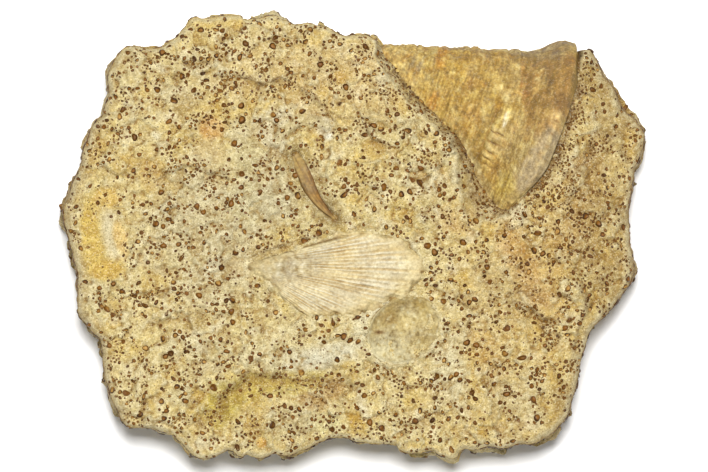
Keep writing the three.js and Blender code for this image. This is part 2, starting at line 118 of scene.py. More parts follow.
class Coat:
    """Layers of colour over many points, one laid over another."""

    def __init__(self, ground: str, count: int) -> None:
        """Starts with one colour at every point."""
        self.rows = np.tile(hue(ground), (count, 1))

    def add(self, code: str, share: Array) -> None:
        """Moves each point towards a colour by its share, from 0 to 1."""
        self.rows = self.rows + (hue(code) - self.rows) * np.clip(share, 0, 1)[:, None]

    def grain(self, fine: Array, balance: tuple = (1.0, 1.0, 1.0)) -> None:
        """Makes each point lighter or darker by its own share, and shifts the colour balance."""
        self.rows = self.rows * (1 + fine)[:, None] * balance

    def filled(self, code: str, count: int) -> Array:
        """The colours, and one plain colour for the points that follow, count in all."""
        return np.vstack([self.rows, np.tile(hue(code), (count - len(self.rows), 1))])


@dataclass(frozen=True)
class RockNoise:
    """Repeatable gradient noise, about -1 to 1. A number added to the points gives other lumps."""

    seed: int

    def at(self, points: Array) -> Array:
        """Noise with cells one unit wide at rows of x, y, z.

        Args:
            points: Rows of x, y, z, in cells.

        Returns:
            One value for each row.
        """
        cell = np.floor(points)
        part = points - cell
        cell = cell.astype(np.int64)
        fade = part**3 * (part * (part * 6 - 15) + 10)
        total = np.zeros(len(points))
        for corner in range(8):
            step = np.array([corner & 1, (corner >> 1) & 1, corner >> 2])
            weight = np.prod(np.where(step == 1, fade, 1 - fade), axis=1)
            bits = self._bits(cell + step)
            slope = column(bits & 1023, (bits >> 10) & 1023, (bits >> 20) & 1023) / 511.5 - 1
            total += weight * np.sum(slope * (part - step), axis=1)
        return total * 1.4

    def layers(self, points: Array, size: float, count: int = 3, keep: float = 0.5) -> Array:
        """Several layers of noise, each half as wide as the one before.

        Args:
            points: Rows of x, y, z in millimetres.
            size: Width of the widest lumps.
            count: How many layers.
            keep: Strength of a layer against the one before.

        Returns:
            One value for each row.
        """
        total, strength, whole = np.zeros(len(points)), 1.0, 0.0
        for k in range(count):
            total += strength * self.at(points * (2.03**k / size) + 19.7 * (k + 1))
            whole += strength
            strength *= keep
        return total / whole

    def _bits(self, cell: Array) -> Array:
        """Thirty mixed bits for each lattice corner.

        Args:
            cell: Rows of three whole numbers.

        Returns:
            One number for each row.
        """
        n = cell.astype(np.uint32)
        h = n[:, 0] * np.uint32(374761393) + n[:, 1] * np.uint32(668265263)
        h = h + n[:, 2] * np.uint32(2246822519) + np.uint32((self.seed * 3266489917) & 0xFFFFFFFF)
        h ^= h >> np.uint32(15)
        h *= np.uint32(2654435769)
        h ^= h >> np.uint32(13)
        h *= np.uint32(1274126177)
        h ^= h >> np.uint32(16)
        return h


def make_piece(
    name: str, points: Array, faces: list, colours: Array, plan_map: bool = False
) -> bpy.types.Object:
    """A smooth-shaded mesh with a colour at each point.

    Args:
        name: Name of the piece.
        points: Rows of x, y, z in millimetres.
        faces: Lists of point numbers, or arrays of them with one width each.
        colours: Gamma-coded colours, a row for each point.
        plan_map: Whether to add a bake map laid flat over the plan.

    Returns:
        The new object, linked to the scene.
    """
    mesh = bpy.data.meshes.new(name)
    rows = [row for block in faces for row in np.asarray(block).tolist()]
    mesh.from_pydata((points * MM).tolist(), [], rows)
    paint = mesh.color_attributes.new(name="stone_tint", type="FLOAT_COLOR", domain="POINT")
    rgba = np.ones((len(points), 4), np.float32)
    rgba[:, :3] = PIGMENT * to_linear(colours)
    paint.data.foreach_set("color", rgba.ravel())
    mesh.shade_smooth()
    if plan_map:
        corners = np.zeros(len(mesh.loops), np.int32)
        mesh.loops.foreach_get("vertex_index", corners)
        plan = points[corners, :2] - points[:, :2].min(axis=0)
        layer = mesh.uv_layers.new(name="OFBake")
        layer.data.foreach_set("uv", (UV_MARGIN + (1 - 2 * UV_MARGIN) * plan / plan.max()).ravel())
    piece = bpy.data.objects.new(name, mesh)
    bpy.context.scene.collection.objects.link(piece)
    return piece


def grid_faces(rows: int, columns: int, closed: bool = False) -> Array:
    """Squares of a grid of points numbered row by row.

    Args:
        rows: Rows of points.
        columns: Points in a row.
        closed: Whether the last column joins the first.

    Returns:
        Four point numbers for each square.
    """
    i = np.arange(rows - 1)[:, None]
    j = np.arange(columns if closed else columns - 1)[None, :]
    here, beyond = i * columns, (j + 1) % columns
    corners = (here + j, here + columns + j, here + columns + beyond, here + beyond)
    return np.stack([c.ravel() for c in np.broadcast_arrays(*corners)], axis=1)


# ---- finishes


class Nodes:
    """A short hand for drawing a material's nodes."""

    def __init__(self, name: str) -> None:
        """Starts a material of that name with its shader and output.

        Args:
            name: Name of the material.
        """
        self.material = bpy.data.materials.new(name)
        self.material.use_nodes = True
        self.tree = self.material.node_tree
        self.shader = self.tree.nodes["Principled BSDF"]
        self.place = self.add("ShaderNodeTexCoord", {}).outputs["Object"]

    def add(self, kind: str, feeds: dict, **settings: object) -> bpy.types.Node:
        """A new node.

        Args:
            kind: The node's type.
            feeds: For each socket's name or number, a value or another node's output.
            settings: The node's own settings.

        Returns:
            The node.
        """
        node = self.tree.nodes.new(kind)
        for name, value in settings.items():
            setattr(node, name, value)
        for name, value in feeds.items():
            self.feed(node.inputs[name], value)
        return node

    def plain(self, code: str) -> tuple:
        """A colour code as the linear colour that a node takes."""
        return (*to_linear(hue(code)), 1)

    def feed(self, socket: Socket, value: object) -> None:
        """Links another node's output to a socket, or sets the socket's own value.

        Args:
            socket: The socket.
            value: The output or the value.
        """
        if isinstance(value, Socket):
            self.tree.links.new(value, socket)
        else:
            socket.default_value = value

    def noise(self, width: float, detail: float = 3.0, rough: float = 0.6) -> Socket:
        """Noise with lumps about width millimetres wide."""
        feeds = {"Vector": self.place, "Scale": 1 / (width * MM), "Detail": detail, "Roughness": rough}
        return self.add("ShaderNodeTexNoise", feeds).outputs["Fac"]

    def cells(self, width: float) -> Socket:
        """Distance from the middle of random cells about width millimetres wide."""
        feeds = {"Vector": self.place, "Scale": 1 / (width * MM)}
        return self.add("ShaderNodeTexVoronoi", feeds).outputs["Distance"]

    def scaled(self, value: object, low: float, high: float, to: tuple) -> Socket:
        """value from low to high, mapped to a new range and held inside it."""
        feeds = {"Value": value, "From Min": low, "From Max": high, "To Min": to[0], "To Max": to[1]}
        return self.add("ShaderNodeMapRange", feeds).outputs["Result"]

    def math(self, kind: str, a: object, b: object) -> Socket:
        """Two numbers put together."""
        return self.add("ShaderNodeMath", {0: a, 1: b}, operation=kind).outputs[0]

    def mixed(self, kind: str, share: object, a: object, b: object) -> Socket:
        """Two colours put together."""
        feeds = {0: share, 6: a, 7: b}
        return self.add("ShaderNodeMix", feeds, data_type="RGBA", blend_type=kind).outputs[2]

    def painted(self) -> Socket:
        """The colour that the mesh holds at each point."""
        return self.add("ShaderNodeAttribute", {}, attribute_name="stone_tint").outputs["Color"]

    def surface(self, colour: object, rough: object, gloss: float) -> None:
        """Feeds the shader its colour, roughness and gloss."""
        for name, value in (("Base Color", colour), ("Roughness", rough), ("Specular IOR Level", gloss)):
            self.feed(self.shader.inputs[name], value)

    def relief(self, height: object, depth: float) -> None:
        """Bump from a height of 0 to 1 that stands for depth millimetres."""
        node = self.add("ShaderNodeBump", {"Height": height, "Distance": depth * MM})
        self.feed(self.shader.inputs["Normal"], node.outputs["Normal"])


@dataclass(frozen=True)
class StoneFinish:
    """Dull, crumbly limestone: the painted tint, broken up by grains, specks and fine pits."""

    name: str
    dark: str = "745c2c"
    pale: str = "fbf2d0"
    fleck: str = "5c451c"
    grain: float = 0.3
    grit: float = 0.42
    speck: float = 0.7
    depth: float = 0.55
    speckle: float = 0.8
    rough: tuple = (0.78, 0.97)
    gloss: float = 0.25

    def material(self) -> bpy.types.Material:
        """Draws the nodes.

        Returns:
            The material.
        """
        n = Nodes(self.name)
        fine, broad = n.noise(self.grain, 3.0, 0.7), n.noise(self.grain * 5.0, 2.0, 0.5)
        dots = n.cells(self.speck)
        colour = n.painted()
        shade = n.scaled(n.math("ADD", fine, broad), 0.7, 1.3, (0.0, 1.0))
        low, high = n.plain(self.dark), n.plain(self.pale)
        colour = n.mixed("SOFT_LIGHT", self.speckle, colour, n.mixed("MIX", shade, low, high))
        near_dots = n.scaled(dots, 0.13, 0.28, (0.8, 0.0))
        in_groups = n.scaled(broad, 0.4, 0.56, (0.0, 1.0))
        colour = n.mixed("MIX", n.math("MULTIPLY", near_dots, in_groups), colour, n.plain(self.fleck))
        grit = n.noise(self.grit, 2.0, 0.6)
        colour = n.mixed("MIX", n.scaled(grit, 0.53, 0.72, (0.0, 0.5)), colour, low)
        colour = n.mixed("MIX", n.scaled(grit, 0.46, 0.28, (0.0, 0.45)), colour, high)
        n.surface(colour, n.scaled(fine, 0.3, 0.7, (self.rough[1], self.rough[0])), self.gloss)
        height = n.math("ADD", fine, n.math("MULTIPLY", n.scaled(dots, 0.0, 0.3, (0.0, 1.0)), 0.35))
        n.relief(height, self.depth)
        return n.material


@dataclass(frozen=True)
class ShellFinish:
    """Smoother, faintly polished shell stone with fine wrinkles."""

    name: str
    dark: str
    pale: str
    wrinkle: float = 0.7
    depth: float = 0.1
    speckle: float = 0.4
    rough: tuple = (0.5, 0.75)
    gloss: float = 0.35
    grit: float = 0.18
    grit_width: float = 0.5

    def material(self) -> bpy.types.Material:
        """Draws the nodes.

        Returns:
            The material.
        """
        n = Nodes(self.name)
        fine, broad = n.noise(self.wrinkle, 4.0, 0.65), n.noise(self.wrinkle * 7, 2.0, 0.5)
        shade = n.scaled(n.math("ADD", fine, broad), 0.7, 1.3, (0.0, 1.0))
        low, high = n.plain(self.dark), n.plain(self.pale)
        colour = n.mixed("SOFT_LIGHT", self.speckle, n.painted(), n.mixed("MIX", shade, low, high))
        grit = n.noise(self.grit_width, 2.0, 0.6)
        colour = n.mixed("MIX", n.scaled(grit, 0.52, 0.72, (0.0, self.grit)), colour, low)
        colour = n.mixed("MIX", n.scaled(grit, 0.46, 0.28, (0.0, 0.4 * self.grit)), colour, high)
        n.surface(colour, n.scaled(broad, 0.35, 0.65, self.rough), self.gloss)
        n.relief(fine, self.depth)
        return n.material


@dataclass(frozen=True)
class GrainFinish:
    """Round iron-stained grains: dark skins, paler hearts and a slight gloss."""

    name: str
    dark: str = "5a3806"
    pale: str = "e0bc78"
    mottle: float = 0.35
    speckle: float = 0.35
    rough: tuple = (0.34, 0.6)
    gloss: float = 0.22
    depth: float = 0.06

    def material(self) -> bpy.types.Material:
        """Draws the nodes.

        Returns:
            The material.
        """
        n = Nodes(self.name)
        fine = n.noise(self.mottle, 3.0, 0.6)
        low, high = n.plain(self.dark), n.plain(self.pale)
        mottled = n.mixed("MIX", n.scaled(fine, 0.35, 0.65, (0.0, 1.0)), low, high)
        colour = n.mixed("SOFT_LIGHT", self.speckle, n.painted(), mottled)
        n.surface(colour, n.scaled(fine, 0.3, 0.7, self.rough), self.gloss)
        n.relief(fine, self.depth)
        return n.material


# ---- stains, ledges and the outline


@dataclass(frozen=True)
class Stain:
    """A patch of another colour: its centre, half sizes, turn in degrees, colour and strength,
    how wide its edge fades, and how far it calms the rough stone."""

    at: tuple
    size: tuple
    turn: float
    colour: str
    strength: float = 0.8
    edge: float = 0.35
    calm: float = 0.0

    def share(self, x: Array, y: Array, wobble: Array) -> Array:
        """How much of the patch lies at each place, 0 to 1."""
        reach = np.hypot(*turned(x, y, self.at, self.size, self.turn)) + 0.3 * wobble
        return 1 - smooth(1 - self.edge, 1 + self.edge, reach)


def stains_of(*rows: tuple) -> tuple[Stain, ...]:
    """Stains from rows of x, y, half length, half width, turn, colour and what follows it."""
    return tuple(Stain((x, y), (long, wide), *rest) for x, y, long, wide, *rest in rows)


@dataclass(frozen=True)
class Ledge:
    """A step in the stone along a line: the left of its direction stands higher, and painted shadow lies
    along its foot.
    """

    steepness = 1.4  # how far the step overshoots its drop before it fades
    deepest = 1.1  # drop beyond which its foot gets no darker

    path: tuple
    drop: float
    width: float = 0.35
    fade: float = 3.0

    def lift(self, x: Array, y: Array) -> tuple[Array, Array]:
        """Height added at each place, and the painted shadow at the foot of the step.

        Args:
            x: First coordinates.
            y: Second coordinates.

        Returns:
            The height, and the painted shadow at the foot, 0 to 1.
        """
        side, far = line_distance(self.path, x, y)
        step = 0.5 * np.tanh(side / self.width)
        near = hump(far, 0.0, self.fade)
        foot = hump(side, -self.width, 0.8 * self.width) * (far < self.fade)
        ends = np.minimum(*(np.hypot(x - ax, y - ay) for ax, ay in (self.path[0], self.path[-1])))
        near = near * (0.25 + 0.75 * smooth(0.0, 3.0, ends))
        # painted shadow along the foot of the step, deeper for a higher drop
        dark = 0.8 * min(abs(self.drop), self.deepest) * foot * near
        return self.steepness * self.drop * step * near, dark


@dataclass(frozen=True)
class Ridge:
    """A rounded welt along a line, smoother and of its own colour."""

    path: tuple
    half: float
    lift: float
    colour: str
    strength: float = 0.7

    def share(self, x: Array, y: Array) -> Array:
        """How much of the welt lies at each place, 0 to 1."""
        _, far = line_distance(self.path, x, y)
        return np.exp(-((far / self.half) ** 2) ** 1.4)


def line_distance(path: tuple, x: Array, y: Array) -> tuple[Array, Array]:
    """Signed and plain distance from places to a line of straight pieces.

    Args:
        path: Corners of the line.
        x: First coordinates.
        y: Second coordinates.

    Returns:
        The distance with its sign, plus on the left of the line's direction, and without it.
    """
    best = np.full(np.shape(x), 1e9)
    side = np.zeros(np.shape(x))
    for (ax, ay), (bx, by) in zip(path[:-1], path[1:]):
        ex, ey = bx - ax, by - ay
        t = np.clip(((x - ax) * ex + (y - ay) * ey) / (ex * ex + ey * ey), 0, 1)
        far = np.hypot(x - ax - t * ex, y - ay - t * ey)
        cross = (ex * (y - ay) - ey * (x - ax)) / math.hypot(ex, ey)
        side = np.where(far < best, np.sign(cross) * far, side)
        best = np.minimum(best, far)
    return side, best


@dataclass(frozen=True)
class Outline:
    """The block's edge from above, as corners seen once each from the centre."""

    corners: tuple

    def reach(self, theta: Array) -> Array:
        """Distance from the centre to the edge in each direction.

        Args:
            theta: Directions in radians.

        Returns:
            One distance for each.
        """
        p = np.array(self.corners)
        angle = np.arctan2(p[:, 1], p[:, 0])
        order = np.argsort(angle)
        p, angle = p[order], angle[order]
        theta = (theta + math.pi) % TURN - math.pi
        k = np.searchsorted(angle, theta) - 1
        a, b = p[k % len(p)], p[(k + 1) % len(p)]
        e = b - a
        dx, dy = np.cos(theta), np.sin(theta)
        return (a[..., 0] * e[..., 1] - a[..., 1] * e[..., 0]) / (dx * e[..., 1] - dy * e[..., 0])


BLOCK_EDGE = Outline(
    (
        (69.5, -0.4), (69.25, 3.6), (69.15, 6.6), (69.4, 9.4), (69.9, 11.6), (70.2, 13.9),
        (70.75, 17.4), (71.75, 19.2), (72.7, 21.6), (73.05, 23.5), (73.25, 25.6), (72.85, 26.9),
        (71.75, 28.1), (71, 29.4), (69.4, 30.5), (68.1, 31.5), (67.5, 32.5), (66.5, 34.8),
        (65.4, 37.3), (64.05, 39.2), (62.9, 40.3), (62.3, 41.7), (61.55, 43.4), (60.75, 44.9),
        (60.2, 46.3), (59.6, 47), (58.25, 46.95), (56.5, 46.75), (54.5, 45.6), (51.5, 46.4),
        (46.5, 45.8), (42.5, 45.1), (37.75, 45.4), (32.75, 44.9), (26.5, 45.4), (20.25, 46.1),
        (14, 46.6), (9.5, 46.75), (7.5, 47.1), (6.75, 47.9), (5.5, 49.3), (3.9, 50.25),
        (2.7, 50.65), (1.5, 50.5), (-0.5, 50.45), (-2.1, 50.25), (-3.5, 50.65), (-4.9, 51.3),
        (-5.75, 52), (-7.3, 52.7), (-8.9, 52.9), (-10.5, 53.45), (-12.1, 53.6), (-13.3, 53.4),
        (-14.7, 53.1), (-16.1, 53.7), (-17, 54.4), (-17.9, 54.4), (-18.9, 55.2), (-20.3, 55.6),
        (-21.5, 55.45), (-22.5, 55.1), (-23.7, 54.65), (-25.5, 54.7), (-26.75, 54.4), (-27.9, 54.6),
        (-28.5, 55.6), (-29.4, 55.7), (-33.6, 55.45), (-36, 55), (-38, 54.6), (-39.25, 55.1),
        (-40.25, 55.05), (-41.25, 54.6), (-42, 53.5), (-42.75, 52.3), (-43.75, 51.4), (-44.6, 50.1),
        (-45.6, 49.3), (-46.8, 48.6), (-47.5, 47.9), (-48.4, 47.5), (-50, 47.25), (-52, 47.1),
        (-53.6, 47.5), (-55.2, 47.8), (-56.8, 47.85), (-58, 47.25), (-58.8, 46.3), (-59.6, 45.3),
        (-60.4, 44.1), (-61, 42.7), (-61.7, 41.3), (-62, 39.9), (-61.9, 38.5), (-61.65, 37.1),
        (-61.7, 35.5), (-62.2, 34.5), (-62.75, 33.1), (-63, 31.5), (-63.4, 30.1), (-64.8, 29.3),
        (-65.5, 28.1), (-66.2, 26.7), (-66.75, 25.1), (-67.4, 23.5), (-68, 21.9), (-68.4, 20.5),
        (-68.4, 19.1), (-68.9, 17.5), (-69.6, 15.9), (-70.4, 14.3), (-71.1, 12.7), (-71.6, 11.1),
        (-72.2, 9.3), (-72.8, 7.9), (-73.1, 6.7), (-73.2, 5.1), (-73, 3.5), (-72.6, 1.9),
        (-72.2, 0.7), (-71.7, -0.9), (-71, -3.4), (-70.6, -5.9), (-69.8, -7.95), (-69.4, -10.45),
        (-69.55, -12.55), (-69.4, -14.6), (-69.55, -16.7), (-69.55, -18.8), (-68.9, -20.45),
        (-67.05, -22.3), (-65.8, -24), (-63.9, -25.7), (-63.4, -27.55), (-63.1, -29.6),
        (-63.2, -31.7), (-62.9, -33.8), (-62.6, -35.9), (-61.8, -37.95), (-61.2, -40.05),
        (-60.4, -42.1), (-59.3, -44.2), (-58.7, -45.9), (-57.7, -47.3), (-56, -48.1),
        (-52.7, -48.1), (-50.2, -48.45), (-47.7, -49.2), (-45.4, -49.8), (-44.55, -50.9),
        (-43.1, -52.1), (-41.8, -53.6), (-40.6, -54.8), (-38.9, -55.8), (-37.25, -55.75),
        (-35.2, -55.45), (-33.5, -54.6), (-31.8, -53.7), (-30.4, -53.9), (-29.3, -55.05),
        (-28.1, -55.45), (-27.05, -54.6), (-25.4, -55.45), (-23.4, -55.9), (-21.5, -55.25),
        (-20.4, -54.55), (-18.5, -55.05), (-16.4, -55.2), (-14.75, -54.55), (-13.1, -53.9),
        (-11.4, -53.2), (-9.75, -52.2), (-7.7, -51.5), (-5.6, -50.7), (-3.5, -50.45), (-1.4, -50.8),
        (0.7, -51.7), (2.75, -51.9), (4.8, -52.3), (6.9, -52.3), (9, -52.1), (10.7, -52.4),
        (11.3, -53.6), (12.75, -54.4), (14.4, -54.55), (16.5, -54.6), (18.2, -54), (20.05, -53.9),
        (21.1, -54.8), (22.75, -55.6), (24.8, -56), (25.9, -55.5), (26.5, -54.2), (27.95, -53.4),
        (29.8, -53.6), (31.9, -53.4), (33.6, -52.75), (35.25, -52.9), (36.5, -53.3), (38.6, -53.05),
        (40.25, -52.55), (41.9, -52.1), (44, -52.4), (45.7, -52.05), (46.9, -51.3), (48.6, -50.45),
        (50.25, -49.2), (51.5, -47.75), (52.95, -46.5), (53.8, -44.8), (54.4, -42.95),
        (54.8, -41.1), (55.45, -39.4), (55.9, -37.1), (56.5, -34.6), (56.7, -32.55), (57.3, -30.45),
        (57.95, -28.4), (58.6, -25.9), (59.2, -24.2), (60.25, -22.75), (61.5, -21.3),
        (63.2, -20.05), (64.8, -18.4), (66.1, -16.7), (67.55, -14.8), (69, -12.75), (69.8, -11.1),
        (70.45, -9.2), (70.7, -7.55), (70.25, -5.45), (69.8, -3.4), (69.4, -1.3),
    )
)


# ---- the snail


class SnailForm:
    """The snail's shape: a slightly flattened cone wound in whorls, lying in the stone."""

    apex = np.array([-1.75, 48.6, 28.2])
    heading = math.radians(27.5)
    dip = math.radians(6)
    flare = math.tan(math.radians(25))
    ratio = 0.755
    last_suture = 40.0
    rim_turn = 1.2
    bulge = 2.7

    # Height of one whorl's surface against the distance from the apex, from suture to suture.
    whorl = (
        (0.0, -0.009), (0.05, -0.003), (0.1, 0.004), (0.15, 0.005), (0.22, 0.0), (0.32, -0.008),
        (0.45, -0.009), (0.6, -0.008), (0.72, -0.002), (0.84, 0.005), (0.93, 0.001), (1.0, -0.009),
    )
    last_whorl = (
        (0.84, 0.005), (0.95, 0.003), (1.05, 0.004), (1.12, 0.004), (1.17, -0.002), (1.2, -0.012)
    )

    def __init__(self) -> None:
        """Works out the cone's own directions."""
        cd, sd = math.cos(self.dip), math.sin(self.dip)
        ch, sh = math.cos(self.heading), math.sin(self.heading)
        self.axis = np.array([cd * ch, -cd * sh, -sd])
        self.up = np.array([sd * ch, -sd * sh, cd])
        self.side = np.array([-sh, -ch, 0.0])

    def squash(self, phi: Array) -> Array:
        """Share of the round height that is left at each direction about the axis."""
        return 0.75 + 0.05 * np.cos(phi)

    def along(self, turn: Array, phi: Array) -> Array:
        """Distance from the apex of a winding line."""
        return self.last_suture * self.ratio ** -(turn + phi / TURN)

    def turn_at(self, s: Array, phi: Array) -> Array:
        """The winding that passes a place on the cone."""
        return np.log(s / self.last_suture) / -math.log(self.ratio) - phi / TURN

    def drawn_in(self, turn: Array, phi: Array) -> Array:
        """Winding numbers with the last half turn pulled in towards the underside."""
        deg = np.degrees(phi)
        held = (1 - 0.8 * smooth(60, 180, deg)) * (1 - 0.7 * smooth(8, 45, deg))
        return np.where(turn > 0.84, 0.84 + (turn - 0.84) * held, turn)

    def swelling(self, s: Array, phi: Array) -> Array:
        """How far the last whorl stands proud of the cone."""
        t = self.turn_at(s, phi)
        on = smooth(0.35, 0.95, t) * (1 - 0.75 * smooth(1.05, 1.24, t))
        return self.bulge * on * (0.5 + 0.5 * np.cos(phi + 0.7))

    def point(self, s: Array, phi: Array, proud: Array) -> Array:
        """Places on the shell.

        Args:
            s: Distances from the apex along the axis.
            phi: Directions about the axis, 0 on the upper side.
            proud: Heights above the cone.

        Returns:
            Rows of x, y, z.
        """
        r = s * self.flare + self.swelling(s, phi) + proud
        up, side = self.squash(phi) * r * np.cos(phi), r * np.sin(phi)
        place = self.apex + self.axis * s[..., None] + self.up * up[..., None]
        return place + self.side * side[..., None]

    def top(self, x: Array, y: Array) -> Array:
        """Height of the plain upper surface over places of the plan.

        Args:
            x: First coordinates.
            y: Second coordinates.

        Returns:
            One height for each place.
        """
        x, y = np.asarray(x, float), np.asarray(y, float)
        dx, dy = x - self.apex[0], y - self.apex[1]
        run = dx * math.cos(self.heading) - dy * math.sin(self.heading)
        side = dx * self.side[0] + dy * self.side[1]
        s, up, phi = run, np.zeros_like(run), np.zeros_like(run)
        for _ in range(8):
            r = np.maximum(0.5, s) * self.flare + self.swelling(np.maximum(1.0, s), phi)
            phi = np.arcsin(np.clip(side / r, -1, 1))
            up = self.squash(phi) * r * np.cos(phi)
            s = (run - up * math.sin(self.dip)) / math.cos(self.dip)
        return self.apex[2] - s * math.sin(self.dip) + up * math.cos(self.dip)


@dataclass
class SnailShell:
    """The snail: its whorls, nodules, wear and colours."""

    form: SnailForm
    slot: str = "snail_stone"
    start: float = 9.0
    rows: int = 196
    columns: int = 300
    from_deg: float = -150.0
    to_deg: float = 122.0
    lobe_deg: float = 6.2
    bead_deg: float = 7.0
    turned_in: tuple = ((0.3, -0.2), (0.5, -0.6), (0.55, -1.3), (0.3, -3.2), (-0.4, -7.5))
    painted_base_shade: float = 0.82
    base_at: float = 51.0
    noise: RockNoise = RockNoise(11)
    stains: tuple = stains_of(
        (11.5, 41.6, 6.5, 7.5, 0, "cdb070", 0.7), (12.7, 42.6, 0.5, 2.2, -28, "a3906a", 0.5, 0.5),
        (14.6, 43.4, 0.5, 2.7, -28, "9f9078", 0.75, 0.5),
        (16.5, 42.8, 0.55, 3, -28, "9f9078", 0.75, 0.5), (19, 41.5, 0.5, 3.4, -28, "a88f60", 0.6, 0.5),
        (22, 44.6, 1.5, 2.9, -10, "c8882f", 0.8, 0.6), (20, 33.8, 1.5, 2.5, -10, "cb8932", 0.85, 0.6),
        (24.5, 39, 4.5, 7.5, -28, "b9923e", 0.6, 0.5), (31.5, 44.6, 5.5, 2.6, -5, "ab8436", 0.8, 0.6),
        (37, 44, 3.6, 2.6, 0, "ab853c", 0.8, 0.6), (30, 40.5, 1.6, 3.6, -28, "b5904c", 0.6, 0.6),
        (33, 37, 3.2, 6.5, -25, "bd9c52", 0.5, 0.5), (29, 29, 3, 4.2, -20, "a9803a", 0.8, 0.6),
        (38.8, 39.5, 3, 6, -10, "c4a870", 0.6, 0.5), (37.5, 20, 3, 8.5, -22, "c6ae76", 0.8, 0.4),
        (41, 26.5, 2.6, 9, -16, "b39a66", 0.8, 0.5),
        (49.6, 38.3, 7.3, 9.6, -4, "a17c47", 0.95, 0.2, 0.55),
        (46.6, 29.8, 3.6, 7.2, 6, "a5804a", 0.9, 0.25, 0.4),
        (42.6, 38.5, 1.1, 7, 3, "b07c4c", 0.65, 0.5),
        (50.5, 39.5, 3.6, 5.2, -8, "9c7842", 0.9, 0.35, 0.95),
        (47.5, 46.5, 8, 2.2, 4, "927a50", 0.8, 0.5), (55.8, 39, 1.5, 6.5, -14, "8f763c", 0.75, 0.5),
        (45.7, 18.6, 4, 10.8, -35, "b5a48b", 0.9, 0.35, 0.6),
        (50.3, 29.4, 1.5, 2.2, -20, "cfae7a", 0.8, 0.4), (34.6, 17, 2.2, 5, -15, "c2994e", 0.8, 0.6),
        (37.6, 12, 2.4, 3.6, 0, "d8bb5c", 0.8, 0.6), (40, 9, 3.4, 2, 0, "cdb478", 0.8, 0.6),
        (30.6, 16.2, 1.2, 9, 27, "e6d8b2", 0.75, 0.5), (37.7, 29, 0.7, 2.2, -15, "f3eee4", 0.95, 0.4),
        (36.3, 32.6, 1.2, 1.6, 0, "c89a34", 0.7, 0.5),
    )
    groove: Ledge = Ledge(((30.2, 42.6), (28.4, 39.0), (26.6, 36.5), (25.8, 33.6)), -0.5, 0.35, 2.2)
    finish: ShellFinish = ShellFinish(
        "snail_stone", "66542c", "f4eac6", 0.45, 0.26, 0.6, (0.55, 0.82), 0.28, 0.34
    )

    def _profile(self, turn: Array, phi: Array) -> Array:
        """Height of the worn whorls at each winding, against the distance from the apex.

        Args:
            turn: Windings.
            phi: Directions about the axis.

        Returns:
            One share for each.
        """
        share, rise = np.array(self.form.whorl).T
        inside = np.interp(turn - np.floor(turn), share, rise)
        inside = inside * (0.5 + 0.5 * smooth(-0.5, 0.0, turn))
        inside *= 1 + 1.6 * smooth(-45, -75, np.degrees(phi)) * (1 - smooth(-0.5, 0.0, turn))
        last, end = np.array(self.form.last_whorl).T
        return np.where(turn >= 0.84, np.interp(turn, last, end), inside)

    def _suture(self, turn: Array, phi: Array) -> Array:
        """How deep the narrow line between two whorls shows, 0 to 1.

        Args:
            turn: Windings.
            phi: Directions about the axis.

        Returns:
            One value for each.
        """
        share = turn - np.floor(turn)
        line = hump(np.minimum(share, 1 - share), 0.0, 0.02) * (turn < 0.5)
        clear = np.where(turn > -0.5, 0.2 + 0.8 * smooth(-12, 8, np.degrees(phi)), 0.3)
        return line * clear

    def _nodules(self, turn: Array, phi: Array) -> tuple[Array, Array]:
        """Lobes below the suture and beside the rim.

        Args:
            turn: Windings.
            phi: Directions about the axis.

        Returns:
            Their height in millimetres, and the painted shade in the creases between them.
        """
        deg = np.degrees(phi)
        share = turn - np.floor(turn)
        body = smooth(0.015, 0.06, share) * (1 - smooth(0.2, 0.42, share))
        angle = (deg + 30) / self.lobe_deg * 180 + 90 * (share - 0.1) + 40 * np.sin(deg / 5)
        lobe = np.abs(np.cos(np.radians(angle)))
        clear = smooth(1, 8, deg) * (1 - smooth(28, 40, deg))
        last = (turn > -0.03) & (turn < 0.6)
        raised = np.where(last, 0.12 + 1.25 * clear, 0.16)
        size = np.clip(self.form.along(turn, phi) / 42, 0.2, 1.1)
        uneven = 0.8 + 1.4 * self.noise.at(column(deg / 7, 0.0, 0.0))
        on = raised * size * body * (turn < 0.6) * uneven
        edge = hump(turn, 1.08, 0.05)
        rim = smooth(-30, -16, deg) * (1 - smooth(2, 10, deg))
        beads = np.abs(np.cos(np.radians((deg + 24) / self.bead_deg * 180)))
        lump = on * (lobe**0.6 - 0.3) + 0.8 * edge * rim * (beads - 0.3)
        # painted shade in the creases between the lobes and between the rim's beads
        crease = 0.8 * (1 - smooth(0.0, 0.4, lobe)) * on
        return lump, crease + 0.5 * (1 - smooth(0, 0.4, beads)) * edge * rim

    def _streaks(self, turn: Array, phi: Array, fine: float) -> Array:
        """Noise drawn out along the whorls, with fine lines to a whorl."""
        flat = column(turn * fine, np.degrees(phi) / 16, 0.0)
        return self.noise.layers(flat, 1.0, 3, 0.6)

    def _detail(self, turn: Array, phi: Array, place: Array) -> Array:
        """Growth lines, wear and pits, in millimetres.

        Args:
            turn: Windings.
            phi: Directions about the axis.
            place: Rows of x, y, z.

        Returns:
            One height for each place.
        """
        noise = self.noise.layers
        wobble = noise(place, 5.0, 2)
        lines = 0.07 * np.cos(TURN * ((turn - np.floor(turn)) * 24 + 1.6 * wobble))
        lines = lines * (0.4 + 0.6 * smooth(0.1, 0.5, turn)) * smooth(-0.5, 0.3, wobble)
        drawn = 0.45 * self._streaks(turn, phi, 9.0) + 0.1 * self._streaks(turn + 5, phi, 26.0)
        worn = 0.8 * noise(place, 6.5, 3, 0.55)
        worn += 0.2 * noise(place + 40, 1.5, 3)
        calm = np.zeros(len(place))
        for stain in self.stains:
            if stain.calm:
                calm = np.maximum(calm, stain.calm * stain.share(place[:, 0], place[:, 1], wobble))
        return (lines + drawn + worn) * (1 - 0.8 * calm)

